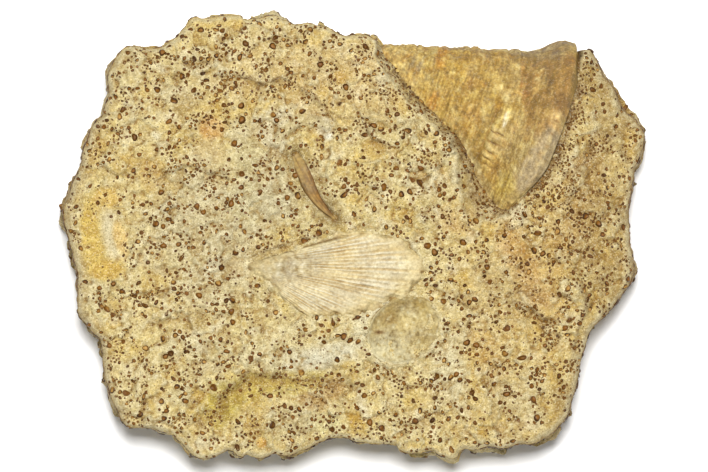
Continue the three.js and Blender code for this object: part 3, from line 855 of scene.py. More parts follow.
    def _colours(self, turn: Array, phi: Array, place: Array, proud: Array, crease: Array) -> Array:
        """Paint: ochre shell stone with stains, painted shade in the grooves and creases, and painted
        highlights on the crests.

        Args:
            turn: Windings.
            phi: Directions about the axis.
            place: Rows of x, y, z.
            proud: Heights of the fine relief.
            crease: The painted shade in the creases.

        Returns:
            Gamma-coded colours, a row for each place.
        """
        noise = self.noise.layers
        x, y = place[:, 0], place[:, 1]
        wobble = noise(place + 90, 4.0, 3)
        coat = Coat("c6ab62", len(place))
        coat.add("ab8b48", 0.4 + 1.5 * noise(place + 7, 8.0, 3))
        coat.add("d2bb8a", 1.5 * noise(place + 31, 3.0, 3))
        for stain in self.stains:
            coat.add(stain.colour, stain.strength * stain.share(x, y, 1.5 * wobble))
        early = 1 - smooth(0.75, 0.95, turn) * 0.7
        streak = self._streaks(turn + 9, phi, 12.0) * (0.6 + 0.4 * smooth(0.0, 0.4, turn))
        coat.add("80652c", 1.7 * early * np.clip(streak, 0, 1))
        coat.add("e0cc88", 1.4 * early * np.clip(-streak, 0, 1))
        thin = self._streaks(turn + 3, phi, 22.0)
        coat.add("746026", 1.2 * early * past(thin, 0.05))
        coat.add("ecdc9c", 1.0 * early * past(-thin, 0.05))
        coat.add("8a6826", 1.6 * early * past(noise(place + 66, 2.4, 3), 0.04))
        coat.add("eedfa8", 1.4 * early * past(noise(place + 77, 2.0, 3), 0.06))
        lines = np.cos(TURN * (turn * 26 + 1.4 * noise(place, 5.0, 2)))
        coat.add("8f7340", 0.3 * smooth(0.1, 0.4, turn) * early * np.clip(lines, 0, 1))
        # painted shade in the sutures and in the creases between the lobes
        coat.add("7a5526", 0.4 * self._suture(turn, phi) + 1.2 * crease)
        # painted shade where the fine relief is low and painted highlight where it is high
        coat.add("765226", smooth(-0.1, -0.6, proud) * 0.5)
        coat.add("e4cb96", smooth(0.12, 0.6, proud) * 0.5)
        # painted shadow along the foot of the groove
        _, foot = self.groove.lift(x, y)
        coat.add("7d6336", foot * 0.7)
        coat.add("bb8030", 0.8 * past(noise(place + 111, 3.4, 3), 0.16))
        coat.grain(0.3 * noise(place + 55, 0.8, 2))
        return coat.rows

    def build(self) -> bpy.types.Object:
        """Makes the shell as one closed piece and dresses it.

        Returns:
            The dressed piece.
        """
        f = self.form
        s_mid = np.linspace(self.start, f.along(f.rim_turn, 0.0), self.rows)
        turns = f.turn_at(s_mid, 0.0)
        deg = np.linspace(self.from_deg, self.to_deg, self.columns)
        turn, phi = np.meshgrid(turns, np.radians(deg), indexing="ij")
        shape = turn.shape
        turn, phi = turn.ravel(), phi.ravel()
        s = f.along(f.drawn_in(turn, phi), phi)
        place = f.point(s, phi, np.zeros_like(s))
        lumps, crease = self._nodules(turn, phi)
        fine = self._detail(turn, phi, place)
        fine += self.groove.lift(place[:, 0], place[:, 1])[0]
        proud = self._profile(turn, phi) * s + lumps + fine - 0.45 * self._suture(turn, phi)
        # On the side away from the opening the last whorl swells once more and its rim draws in.
        behind = smooth(-35, -75, np.degrees(phi))
        proud += behind * (0.75 * hump(turn, 0.86, 0.16) - 1.5 * smooth(1.05, 1.22, turn))
        points = f.point(s, phi, proud).reshape(*shape, 3)
        colours = self._colours(turn, phi, place, lumps + fine, crease).reshape(*shape, 3)

        # Past the rim the shell turns in towards its base, and its colour there is darkened as painted
        # shade.
        rim_s, rim_phi = s.reshape(shape)[-1], phi.reshape(shape)[-1]
        rim_proud = proud.reshape(shape)[-1]
        extra = [f.point(rim_s + ds, rim_phi, rim_proud + dr) for ds, dr in self.turned_in]
        points = np.concatenate([points, np.array(extra)])
        dark = [colours[-1] * self.painted_base_shade] * (len(extra) - 1)
        colours = np.concatenate([colours, np.array([colours[-1], *dark])])

        # Below, a plain floor joins the two long edges of every row.
        share = np.linspace(0, 1, 9)[1:-1, None]
        floor = points[:, -1][:, None] + (points[:, 0] - points[:, -1])[:, None] * share
        points = np.concatenate([points, floor], axis=1)
        colours = np.concatenate([colours, np.repeat(colours[:, -1:], len(share), axis=1)], axis=1)
        rows, columns = points.shape[:2]
        points, colours = points.reshape(-1, 3), colours.reshape(-1, 3)
        faces = grid_faces(rows, columns, closed=True)
        hub, tip = len(points), len(points) + 1
        points = np.vstack([points, *(f.apex + f.axis * at for at in (self.base_at, self.start - 1))])
        colours = np.vstack([colours, colours[-2:]])
        last = (rows - 1) * columns
        ring = np.arange(columns)
        beyond = (ring + 1) % columns
        caps = [
            column(last + ring, np.full(columns, hub), last + beyond),
            column(beyond, np.full(columns, tip), ring),
        ]
        piece = make_piece("snail_whorls", points, [faces, *caps], colours)
        piece.data.materials.append(self.finish.material())
        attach(piece, "root")
        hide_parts("snail_shell")
        return piece


# ---- the other shells


@dataclass(frozen=True)
class FanPlan:
    """Where the fan-ribbed shell lies: its beak, and how far it reaches at each direction."""

    beak: tuple = (-27.2, -6.9)
    fan: tuple = (
        (-44, 11.5), (-40, 18.8), (-36, 22.6), (-32, 25.2), (-28, 28.2), (-24, 31.0), (-20, 34.0),
        (-16, 36.2), (-12, 40.0), (-8, 43.2), (-4, 44.8), (0, 45.0), (4, 43.9), (8, 41.2),
        (12, 35.5), (16, 29.5), (20, 23.0),
    )

    def reach(self, deg: Array) -> Array:
        """How far the shell reaches from its beak."""
        a, r = np.array(self.fan).T
        return np.interp(deg, a, r)

    def inside(self, x: Array, y: Array) -> Array:
        """Distance from places to the shell's edge, plus inside it.

        Args:
            x: First coordinates.
            y: Second coordinates.

        Returns:
            One distance for each place.
        """
        dx, dy = x - self.beak[0], y - self.beak[1]
        r, deg = np.hypot(dx, dy), np.degrees(np.arctan2(dy, dx))
        low, high = self.fan[0][0], self.fan[-1][0]
        sides = np.minimum(deg - low, high - deg)
        return np.minimum(self.reach(deg) - r, np.sin(np.radians(np.clip(sides, -90, 90))) * r)


@dataclass(frozen=True)
class OvalPlan:
    """Where the oval shell lies."""

    at: tuple = (12.3, -23.5)
    half: tuple = (9.5, 7.8)
    turn: float = 35.0
    deep: float = 1.7

    def share(self, x: Array, y: Array) -> Array:
        """0 at the middle and 1 on the edge."""
        return np.hypot(*turned(x, y, self.at, self.half, self.turn))

    def place(self, k: Array, a: Array) -> tuple[Array, Array]:
        """Plan coordinates at a share of the way out and an angle round."""
        c, s = math.cos(math.radians(self.turn)), math.sin(math.radians(self.turn))
        u, v = self.half[0] * k * np.cos(a), self.half[1] * k * np.sin(a)
        return self.at[0] + u * c - v * s, self.at[1] + u * s + v * c


@dataclass(frozen=True)
class SliverPlan:
    """The middle line of the curved shell and half its width."""

    path: tuple = (
        (-14.6, 20.4, 1.5), (-13.5, 18.2, 1.9), (-12.1, 15.4, 2.05), (-10.9, 12.4, 1.95),
        (-9.3, 9.4, 1.5), (-7.2, 6.8, 1.0), (-4.8, 4.5, 0.4),
    )

    def line(self) -> tuple:
        """The middle line alone."""
        return tuple((x, y) for x, y, _ in self.path)


def sunk_plate(points: Array, depth: float) -> tuple[Array, list]:
    """Closes a grid of surface points with an upright edge and a flat underside.

    Args:
        points: Rows by columns of x, y, z.
        depth: How far below its lowest edge point the underside lies.

    Returns:
        All the points, and the faces.
    """
    rows, columns = points.shape[:2]
    flat = points.reshape(-1, 3)
    number = np.arange(rows * columns).reshape(rows, columns)
    loop = np.concatenate(
        [number[-1], number[-2:0:-1, -1], number[0, ::-1], number[1:-1, 0]]
    )
    under = flat[loop].copy()
    under[:, 2] = flat[loop, 2].min() - depth
    middle = under.mean(axis=0)
    n = len(flat)
    low = n + np.arange(len(loop))
    ahead = np.roll(loop, -1), np.roll(low, -1)
    faces = [
        grid_faces(rows, columns),
        column(loop, low, ahead[1], ahead[0]),
        column(low, np.full(len(low), n + len(low)), ahead[1]),
    ]
    return np.vstack([flat, under, middle]), faces


# ---- single grains


class GrainKind(Enum):
    """How a grain shows. Each has rings of reach, height and tone against its radius, and the
    depth of the socket that it leaves in the stone. Tone 0 is the dark skin and 1 the heart."""

    WHOLE = (
        ((0.0, 0.42, 1.0), (0.5, 0.34, 1.0), (0.7, 0.22, 0.2), (0.9, 0.0, 0.0), (1.03, -0.4, 0.0)),
        0.3,
    )
    BROKEN = (
        ((0.0, -0.02, 1.0), (0.5, 0.02, 0.95), (0.62, 0.2, 0.1), (0.88, 0.16, 0.0), (1.03, -0.35, 0.0)),
        0.3,
    )
    EMPTY = (
        ((0.0, -0.5, 0.3), (0.5, -0.38, 0.15), (0.78, -0.02, 0.0), (0.93, 0.08, 0.1), (1.06, -0.3, 0.3)),
        0.75,
    )

    @property
    def rings(self) -> tuple:
        """Reach, height and tone of each ring."""
        return self.value[0]

    @property
    def broken(self) -> float:
        """How far the skin is lost on one side."""
        return 0.8 if self is GrainKind.BROKEN else 0.0

    @property
    def socket(self) -> float:
        """Depth of the socket against the radius."""
        return self.value[1]


@dataclass
class Grain:
    """One grain: its place, radius, kind, stretch, turn and its own share of the tones."""

    at: tuple
    radius: float
    kind: GrainKind
    stretch: float = 1.0
    turn: float = 0.0
    tone: float = 0.5
    facing: tuple = (0.0, 0.0, 1.0)


# ---- the stone


class Window:
    """The opening in the stone through which the snail shows."""

    # x, y, and how far the wall leans back from the shell for each millimetre of height
    corners = (
        (5.9, 60, 0.05), (6.6, 48.3, 0.1), (7.6, 45.9, 0.28), (9.9, 43.1, 0.32), (12.3, 39.5, 0.34),
        (15.5, 35.4, 0.36), (18.7, 32.3, 0.36), (21.8, 29.3, 0.36), (25.6, 25.4, 0.36),
        (27.7, 22.2, 0.42), (29.3, 18.8, 0.5), (31, 14.6, 0.7), (33.4, 10, 0.9),
        (36.1, 7.7, 0.8), (38.3, 6.6, 0.4), (40.6, 7.6, 0.14), (43.6, 11.2, 0.14),
        (47, 14.9, 0.14), (49.7, 18.9, 0.14), (51.9, 23.7, 0.14), (53.6, 29, 0.14),
        (55.1, 33.8, 0.12), (56.3, 38.5, 0.1), (56.4, 42.5, 0.08), (56.2, 46.7, 0.06),
        (56, 60, 0.05),
    )

    def measure(self, x: Array, y: Array) -> tuple[Array, Array, Array, Array]:
        """Where places lie against the opening.

        Args:
            x: First coordinates.
            y: Second coordinates.

        Returns:
            Distance outside the opening, negative inside it, the nearest place of its edge as
            two coordinates, and the wall's lean there.
        """
        best = np.full(x.shape, 1e9)
        near_x, near_y, lean = np.zeros_like(x), np.zeros_like(x), np.zeros_like(x)
        inside = np.zeros(x.shape, bool)
        p = self.corners
        for k, (ax, ay, la) in enumerate(p):
            bx, by, lb = p[(k + 1) % len(p)]
            crosses = (ay > y) != (by > y)
            if by != ay:
                inside ^= crosses & (x < ax + (y - ay) * (bx - ax) / (by - ay))
            if k == len(p) - 1:
                continue
            ex, ey = bx - ax, by - ay
            t = np.clip(((x - ax) * ex + (y - ay) * ey) / (ex * ex + ey * ey), 0, 1)
            cx, cy = ax + t * ex, ay + t * ey
            far = np.hypot(x - cx, y - cy)
            closer = far < best
            best = np.where(closer, far, best)
            near_x, near_y = np.where(closer, cx, near_x), np.where(closer, cy, near_y)
            lean = np.where(closer, la + t * (lb - la), lean)
        return np.where(inside, -best, best), near_x, near_y, lean


@dataclass
class Limestone:
    """The block: its upper face, flank and underside, with their colours."""

    snail: SnailForm
    fan: FanPlan = FanPlan()
    oval: OvalPlan = OvalPlan()
    sliver: SliverPlan = SliverPlan()
    slot: str = "limestone"
    level: float = 40.0
    cells: int = 388
    border: float = 0.992
    flank_rows: int = 52
    flank_columns: int = 720
    floor_rings: int = 25
    # below the border: way down, share of the outline, share of the height
    fall: tuple = (
        (0.3, 1.0, 0.62), (0.55, 0.992, 0.4), (0.78, 0.962, 0.18), (0.92, 0.925, 0.05), (1.0, 0.89, 0.0)
    )
    socket_reach: float = 1.35
    collar: float = 0.75
    noise: RockNoise = RockNoise(3)
    grains: list[Grain] = field(default_factory=list)

    # centre, half sizes, turn in degrees, lift
    relief: tuple = (
        ((-14.5, 20.5), (9, 13), 20, -1.5), ((3, 17), (13, 11), 0, 1.1),
        ((-34.5, -44), (6, 4.5), 40, -2.4), ((-25, -37.5), (7, 3.8), 25, -2.6),
        ((-13, -35.5), (7, 3.4), -5, -2.4), ((-1.5, -39.5), (6, 3.6), -45, -2.2),
        ((-15.5, -44.5), (10, 4), 5, 1.4), ((-62, -0.5), (5.5, 10), 0, -1.6),
        ((-37.5, 24.5), (5, 6), 0, -1.1), ((7, 22.5), (5.5, 3.2), -30, -1.3),
        ((14, 38), (4, 9), 40, 1.4), ((26, 14), (5, 14), 25, 1.6),
        ((36, 4), (6, 5), 0, 1.4), ((50, 5), (10, 6), 45, -1.6),
        ((45, -19), (8, 4), -35, -1.3), ((-5, -26), (14, 5), 8, 0.7),
    )
    ledges: tuple = (
        Ledge(((-17, 39.6), (-22.7, 37.6), (-26.7, 39.3), (-31.5, 40)), -1.2, 0.45),
        Ledge(((-7, 31), (-10.3, 34.9), (-15.5, 38)), -1, 0.5),
        Ledge(((1, 29.5), (-2.7, 29.4), (-6, 30.3)), -0.8, 0.4, 2.2),
        Ledge(((8.8, 22.9), (5.4, 24.3), (3.5, 25.9), (2.6, 28.2)), -1.3, 0.3, 2.6),
        Ledge(((34.6, -20.6), (27.6, -17.6), (23, -14.2)), 0.6, 0.5, 2.4),
        Ledge(((50.5, -21.5), (47.7, -20.6), (42.7, -18), (37.5, -15.6)), -1.2, 0.45),
        Ledge(((-6, -41.3), (-9.4, -39.6), (-13.8, -38.8)), -1.1),
        Ledge(((18.9, -44.3), (13.3, -47.5)), -1),
        Ledge(((-49.4, -13.4), (-55.2, -14.7)), -0.7),
        Ledge(((-38.5, -19.2), (-43.2, -20)), -0.7),
        Ledge(((-34.8, 15.6), (-38.7, 17.1), (-42.5, 17.6), (-47.4, 14.9)), -0.9),
        Ledge(((-6.2, 0.3), (-14, -1), (-20, -3), (-24, -4.3)), -0.8),
        Ledge(
            ((0.5, -34.5), (-4.5, -38), (-9, -36.4), (-17, -35), (-27, -36.8)), -0.35, 0.9
        ),
        Ledge(((-61.5, -41), (-56, -44.5), (-47, -46.3), (-40, -51)), 0.7),
        Ledge(
            ((-8.5, -37), (-17.2, -35.4), (-26, -34.1), (-32.9, -39.8), (-34.8, -47)),
            -0.8, 0.6, 2.4,
        ),
        Ledge(((51.5, 11.6), (56.5, 17.9), (61.5, 22.9), (67.5, 26.9)), -0.8, 0.4, 2.6),
        Ledge(((44.5, 3), (48.5, 6.5), (53, 9), (55.5, 14.5)), -0.7, 0.4, 2.2),
        Ledge(((36.5, -15.9), (41.5, -13.4), (45.3, -15.9)), -0.7, 0.35, 2.2),
        Ledge(((56, -10), (58.4, -17), (55.5, -25.5), (54, -33)), -0.8, 0.45, 2.6),
        Ledge(((-51, -14.6), (-41.5, -13.4), (-34.7, -13.4), (-28.5, -6.9)), -0.5, 0.5, 2.4),
        Ledge(((-29.7, 13), (-33.5, 16.6), (-37, 14)), -0.6, 0.4, 2),
        Ledge(((4, 37.5), (8.5, 35.8), (11, 32)), -0.6, 0.4, 2.2),
        Ledge(((16, 20.5), (21, 17), (24.5, 11)), -0.5, 0.45, 2.4),
        Ledge(((-46, 44), (-39, 42.4), (-33, 44.4)), -0.6, 0.4, 2),
        Ledge(((9.5, -34.6), (14, -37.6), (20, -36.4)), 0.5, 0.4, 2.2),
    )
    ridges: tuple = (
        Ridge(
            ((-19.4, 23.4), (-17.8, 26), (-14, 28.2), (-9.6, 28.9), (-6.6, 27.6)), 1.25, 0.9, "cdbd92"
        ),
        Ridge(((2.2, 30.6), (7.2, 29.6), (9.5, 27.6)), 0.9, 0.5, "d8bd82"),
        Ridge(((-5, 45.5), (-2, 42), (1.5, 40.5)), 1.4, 0.5, "dcc089", 0.6),
        Ridge(((-20, 17.5), (-18, 14.5), (-16.5, 10.5)), 1.1, 0.5, "cbbd96", 0.7),
    )
    stains: tuple = stains_of(
        # left edge: ochre, white and orange hollow
        (-64.8, 1, 3.4, 10.8, 0, "e4c570", 1, 0.25, 0.95),
        (-60.8, 1, 2.6, 6.8, 12, "f8eed0", 0.9, 0.45, 0.9),
        (-58.3, -0.5, 1.6, 4.8, 10, "f8d692", 0.95, 0.4, 0.8),
        (-61.5, -8.6, 4, 2.8, 0, "e2bf68", 0.95, 0.3, 0.8),
        (-61.5, 9.6, 3.6, 2.4, -15, "e4bd68", 0.9, 0.3, 0.8),
        # yellow flats and edges
        (-35, 54, 8, 2.4, 0, "d8b460", 0.85, 0.3, 0.8),
        (-60.5, 44.5, 2, 4, -30, "cfae58", 0.7, 0.4, 0.3),
        (-65, 21.5, 2.6, 5, -12, "cfa64f", 0.75, 0.5, 0.4),
        (-58, 17.5, 4.5, 2.2, 30, "c9a555", 0.6, 0.5, 0.3),
        (-50.4, 15.6, 2.8, 4, 10, "cba45c", 0.7, 0.5, 0.6),
        (-35.6, 27.2, 3.4, 3.2, -20, "dfae6c", 0.9, 0.25, 0.9),
        (-35.6, 20.6, 3.6, 3.8, 0, "e3cfa2", 0.8, 0.4, 0.8),
        (-3.3, 39.8, 1.8, 1.9, 0, "dcb568", 0.8, 0.4, 0.7),
        (10.6, 33.4, 1.9, 3.2, 10, "dcbd7c", 0.75, 0.4, 0.8),
        (4.9, 21.9, 3, 2.2, -15, "e2c37a", 0.9, 0.25, 0.95),
        (26.5, 4, 5, 3.5, 0, "dcb478", 0.5, 0.5, 0.4),
        (-28.5, 37, 3.6, 2.2, -10, "d6b878", 0.7, 0.4, 0.6),
        # chalky and grey stone
        (-38, 0, 13, 17, 10, "d8ceb0", 0.7, 0.4), (-20.4, 8.5, 6.5, 5, 20, "d4ccb0", 0.85, 0.4, 0.3),
        (-7.2, 26.8, 1.8, 3, 20, "fdf9ea", 0.95, 0.4),
        (-17.5, 30.2, 2.4, 2.8, -30, "f6efd8", 0.85, 0.4), (-19.5, 24, 2.4, 4, 20, "f2ead2", 0.85, 0.4),
        (7, 39.2, 2.2, 1.6, 0, "e8e0ca", 0.7, 0.4), (-6.5, -29.3, 8.5, 3, 12, "f8f3de", 0.85, 0.5, 0.3),
        (-13, -31.8, 8, 3.8, 12, "f8f3de", 0.85, 0.5, 0.3),
        (7.6, -17.2, 5, 1.5, 32, "f3eeda", 0.95, 0.35, 0.4),
        (1.4, -24, 2, 4.5, -10, "f0e9cd", 0.85, 0.4, 0.2), (-22.5, -30, 8, 4, 10, "e3d9b4", 0.6, 0.4),
        (-42, -27.5, 7, 3, 25, "e6dcbc", 0.55, 0.5), (-27, 9, 4, 6, 0, "d6cfae", 0.6, 0.4),
        (-35, -8, 4, 2.2, 35, "ebe4cc", 0.7, 0.4), (19, 12, 4, 2.5, 0, "ece0c2", 0.6, 0.5),
        (-46, 35.5, 4.5, 2.2, -20, "ebe0bf", 0.65, 0.4), (40.8, 6.4, 2.2, 3.6, 40, "f0e8d6", 0.7, 0.4),
        (58, -8, 3, 2.5, 0, "e8dcc0", 0.6, 0.5), (-27.5, -6.6, 4.6, 4.4, 0, "cfbf98", 0.8, 0.5, 0.4),
        (-20.5, -3.2, 7, 1.8, 14, "a9905e", 0.6, 0.5, 0.3),
        # ochre grooves along the lower edge
        (-32.5, -41.5, 4.6, 6.6, -35, "d0bc5e", 0.9, 0.35, 0.5),
        (-18, -36.6, 11, 3, 4, "dcc670", 0.9, 0.35, 0.5),
        (-26.5, -37.8, 5.5, 3.4, 28, "d6c064", 0.8, 0.4, 0.5),
        (-5, -38.2, 3.4, 2.4, 40, "b8935a", 0.8, 0.45, 0.7),
        (0.5, -46.5, 2, 4, 20, "c79c3a", 0.75, 0.45, 0.4),
        (-23, -51.4, 1.6, 1.5, 0, "e7b660", 0.95, 0.25, 0.7), (-24, -47, 3.4, 3, 0, "caa24e", 0.5, 0.5),
        (-15.5, -46.5, 6, 4, 0, "c9bd98", 0.6, 0.4), (-9.5, -41.5, 4, 1.8, -20, "c29a6a", 0.5, 0.5),
        (-28.2, -7.2, 2.3, 4.6, 0, "f3e5c0", 0.85, 0.45, 0.3),
        (-18, -24, 7, 2.6, 5, "eddfb6", 0.6, 0.5), (-52.5, -36, 6, 5, 0, "e6d5a8", 0.5, 0.5),
        # beside the snail
        (31.6, 13.4, 1.9, 8.5, 34, "f1e8d0", 0.8, 0.45), (36.4, 7, 3, 1.5, -35, "fdf6ea", 0.95, 0.45),
        (32.6, 9.6, 2, 3.6, 28, "fbf4e2", 0.85, 0.5), (57.5, 8.5, 4.6, 13.5, -8, "a07c46", 0.7, 0.5),
        (53.5, 0, 5, 5, 0, "b08a50", 0.45, 0.6),
        # paler and darker places; the dark patch at (52.6, -42) is painted shade on the rolled corner, the
        # one at (-39.5, -21.8) painted shadow under a ledge
        (-21.8, 27.2, 4, 3.2, 0, "f4ead0", 0.6, 0.5), (14.2, 14.8, 4, 4.2, 0, "f4e2b4", 0.6, 0.5),
        (-31.2, 38.5, 4.2, 3, 0, "f2e4c0", 0.5, 0.5), (-16.5, -50, 4.2, 2.6, 0, "f2e4b8", 0.6, 0.5),
        (-6, -47, 3.8, 3.4, 0, "f6ecb6", 0.85, 0.5), (52.6, -42, 2.8, 6, 12, "94763c", 0.6, 0.5),
        (-39.5, -21.8, 3.4, 2, 15, "8f7440", 0.55, 0.5), (-42, 33, 3.2, 2.6, 0, "9a7c46", 0.5, 0.5),
        (50, 2.2, 4, 4.6, 0, "f2dfb0", 0.5, 0.5), (46, -34, 4.6, 4, 0, "f2e0b4", 0.5, 0.5),
        # right side
        (64, 30.5, 5, 7.5, 25, "c6ae78", 0.65, 0.4, 0.3),
        (70.5, 22.5, 2.5, 4, 30, "cfa752", 0.75, 0.45, 0.3),
        (63, 13, 5, 4.5, 0, "c3a562", 0.6, 0.5, 0.3), (64, -5, 7.5, 17, 6, "ad8c4c", 0.5, 0.5),
        (43, -8.5, 3.6, 12.5, 28, "bd8440", 0.5, 0.6), (50.5, -4, 4.5, 9, 20, "c09548", 0.35, 0.5),
        (33, -29, 3.5, 6.5, 25, "c08c48", 0.3, 0.6), (59.5, 43, 3.2, 6.5, 20, "886624", 0.9, 0.45, 0.2),
        (47, -11, 5, 3, 20, "dbb87a", 0.6, 0.5, 0.4), (56.5, -13, 2.5, 6, 10, "bda25c", 0.6, 0.5),
        (33, -18, 6, 10, 10, "d9c08a", 0.4, 0.5), (23.8, -33.5, 4.4, 9.5, 8, "efe5c4", 0.8, 0.4, 0.2),
        (40, -39, 8, 5, 20, "ddd0aa", 0.45, 0.5), (50, -33, 3, 4, 0, "dcb65c", 0.55, 0.5),
    )
    finish: StoneFinish = StoneFinish("limestone")

    def __post_init__(self) -> None:
        """Makes the material, the snail's opening and the roughened outline."""
        self.window = Window()
        self.material = self.finish.material()
        theta = np.linspace(-math.pi, math.pi, 8 * 360 + 1)
        ring = column(60 * np.cos(theta), 60 * np.sin(theta), 0.0)
        self._edge = theta, BLOCK_EDGE.reach(theta) + 0.28 * self.noise.layers(ring, 2.4, 4, 0.65)

    def edge(self, theta: Array) -> Array:
        """Distance from the centre to the block's edge, with its fine roughness."""
        return np.interp((theta + math.pi) % TURN - math.pi, *self._edge)

    def share(self, x: Array, y: Array) -> Array:
        """How far out places lie: 0 at the centre and 1 on the block's edge."""
        return np.hypot(x, y) / self.edge(np.arctan2(y, x))

    def plain(self, x: Array, y: Array) -> Array:
        """Height of the upper face without its fine relief.

        Args:
            x: First coordinates.
            y: Second coordinates.

        Returns:
            One height for each place.
        """
        h = self.level + 0.9 * np.sin(x / 23 + 0.6) * np.cos(y / 19 - 0.4)
        h += 0.5 * np.sin(x / 9.5 - y / 13 + 1.1) + 0.3 * np.sin(x / 5.1 + y / 6.3)
        h -= 8.5 * smooth(50, 76, x + 0.12 * y) + 2.5 * smooth(-58, -76, x)
        h -= 3.0 * smooth(34, 62, x) * smooth(-28, -52, y)
        for at, size, turn, lift in self.relief:
            u, v = turned(x, y, at, size, turn)
            h += lift * np.exp(-(u * u + v * v))
        return h

    def calm(self, x: Array, y: Array, wobble: Array) -> Array:
        """How far the stone is worn smooth, 0 to 1.

        Args:
            x: First coordinates.
            y: Second coordinates.
            wobble: Noise that makes the edges of the calm places uneven.

        Returns:
            One value for each place.
        """
        calm = np.zeros_like(x)
        for stain in self.stains:
            if stain.calm:
                calm = np.maximum(calm, stain.calm * stain.share(x, y, wobble))
        for ridge in self.ridges:
            calm = np.maximum(calm, 0.8 * ridge.share(x, y))
        return calm

    def crumble(self, points: Array) -> Array:
        """Broken relief of the stone, in millimetres.

        Args:
            points: Rows of x, y, z.

        Returns:
            One height for each row.
        """
        n = self.noise
        lumps = 1.6 * n.layers(points, 9.0, 3, 0.55)
        crumbs = 0.5 * n.layers(points + 70, 2.3, 3, 0.6)
        pits = -1.0 * past(n.layers(points + 130, 1.6, 2), 0.25)
        crease = np.clip(1 - np.abs(n.layers(points + 170, 7.0, 3)) / 0.06, 0, 1)
        cracked = smooth(0.0, 0.25, n.layers(points + 190, 14.0, 2))
        scarps = 0.4 * np.tanh((n.layers(points + 230, 12.0, 4, 0.55) - 0.1) / 0.02)
        scarps += 0.3 * np.tanh((n.layers(points + 250, 7.0, 4, 0.55) + 0.12) / 0.03)
        return lumps + crumbs + pits + scarps - 0.4 * crease * cracked

    def surface(self, x: Array, y: Array) -> tuple[Array, Array, Array]:
        """Works out the finished upper face at places of the plan.

        Args:
            x: First coordinates.
            y: Second coordinates.

        Returns:
            The height, the painted shadow at the foot of a ledge or a wall, and how far it is a wall.
        """
        noise = self.noise.layers
        flat = column(x, y, 0.0)
        wobble = noise(flat + 210, 5.0, 3)
        calm = self.calm(x, y, wobble)
        _, far = line_distance(self.sliver.line(), x, y)
        calm = np.maximum(calm, 0.85 * (1 - smooth(1.4, 3.0, far)))
        h = self.plain(x, y) + self.crumble(flat) * (1 - 0.86 * calm)
        # painted shadow at the feet of the ledges and of the wall round the snail
        shade = np.zeros_like(x)
        for ledge in self.ledges:
            lift, foot = ledge.lift(x + 0.8 * wobble, y + 0.8 * wobble)
            h += lift
            shade = np.maximum(shade, foot)
        for ridge in self.ridges:
            h += ridge.lift * ridge.share(x, y)
        # room for the shells
        ragged = noise(flat + 260, 2.4, 3)
        h -= 1.6 * smooth(0.1, 1.2, self.fan.inside(x, y) - 0.5 - 3.0 * ragged)
        k = self.oval.share(x, y) + 0.16 * ragged
        h -= (self.oval.deep * (1 - np.clip(k, 0, 1) ** 2.4) + 1.0) * (1 - smooth(0.9, 1.0, k))
        h += 0.35 * hump(k, 1.08, 0.06)
        h -= 1.2 * (1 - smooth(0.5, 1.5, far))
        # the wall round the snail
        wall = np.full_like(x, 1e3)
        steep = np.zeros_like(x)
        near = (x > -2) & (y > -4)
        away, bx, by, lean = self.window.measure(x[near], y[near])
        rim_side = smooth(41.0, 46.0, bx)
        rough = noise(flat[near] + 300, 3.0, 4, 0.65)
        climb = np.maximum(away + 0.8 * rough, 0) / np.maximum(lean, 0.05)
        hem = 2.6 * smooth(37.5, 39.5, bx) * (1 - smooth(48.0, 52.0, bx)) * smooth(24.0, 18.0, by)
        outside = self.snail.top(bx, by) + hem - 0.5 + climb + 0.5 * rough
        inside = self.snail.top(x[near], y[near]) - 0.7 - 0.9 * smooth(0, -1.5, away)
        wall[near] = np.where(away > 0, outside, inside)
        steep[near] = (1 - smooth(0.0, 4.0, away)) * (away > -1.0)
        # painted shadow along the foot of the wall round the snail, wider and darker on the rim side
        foot = hump(away, 0.0, 0.4 + 0.9 * rim_side + 0.8 * rim_side * rough)
        painted_wall_shade = (0.1 + 0.25 * smooth(12.0, 22.0, by) + rim_side) * (1 - 0.8 * smooth(34.0, 42.0, by))
        shade[near] = np.maximum(shade[near], np.minimum(painted_wall_shade, 1.1) * foot)
        steep *= smooth(-3.0, 0.5, h - wall)
        return soft_min(h, wall, 0.7), shade, steep

    def rolled(self, height: Array, share: Array) -> Array:
        """The upper face's height bent down towards the block's edge."""
        drop = 0.7 * np.clip(share / 0.97, 0, 1.03) ** 20
        fold = 1 - 0.06 * (past(share, 0.972) / 0.02) ** 2
        return (height - drop) * fold

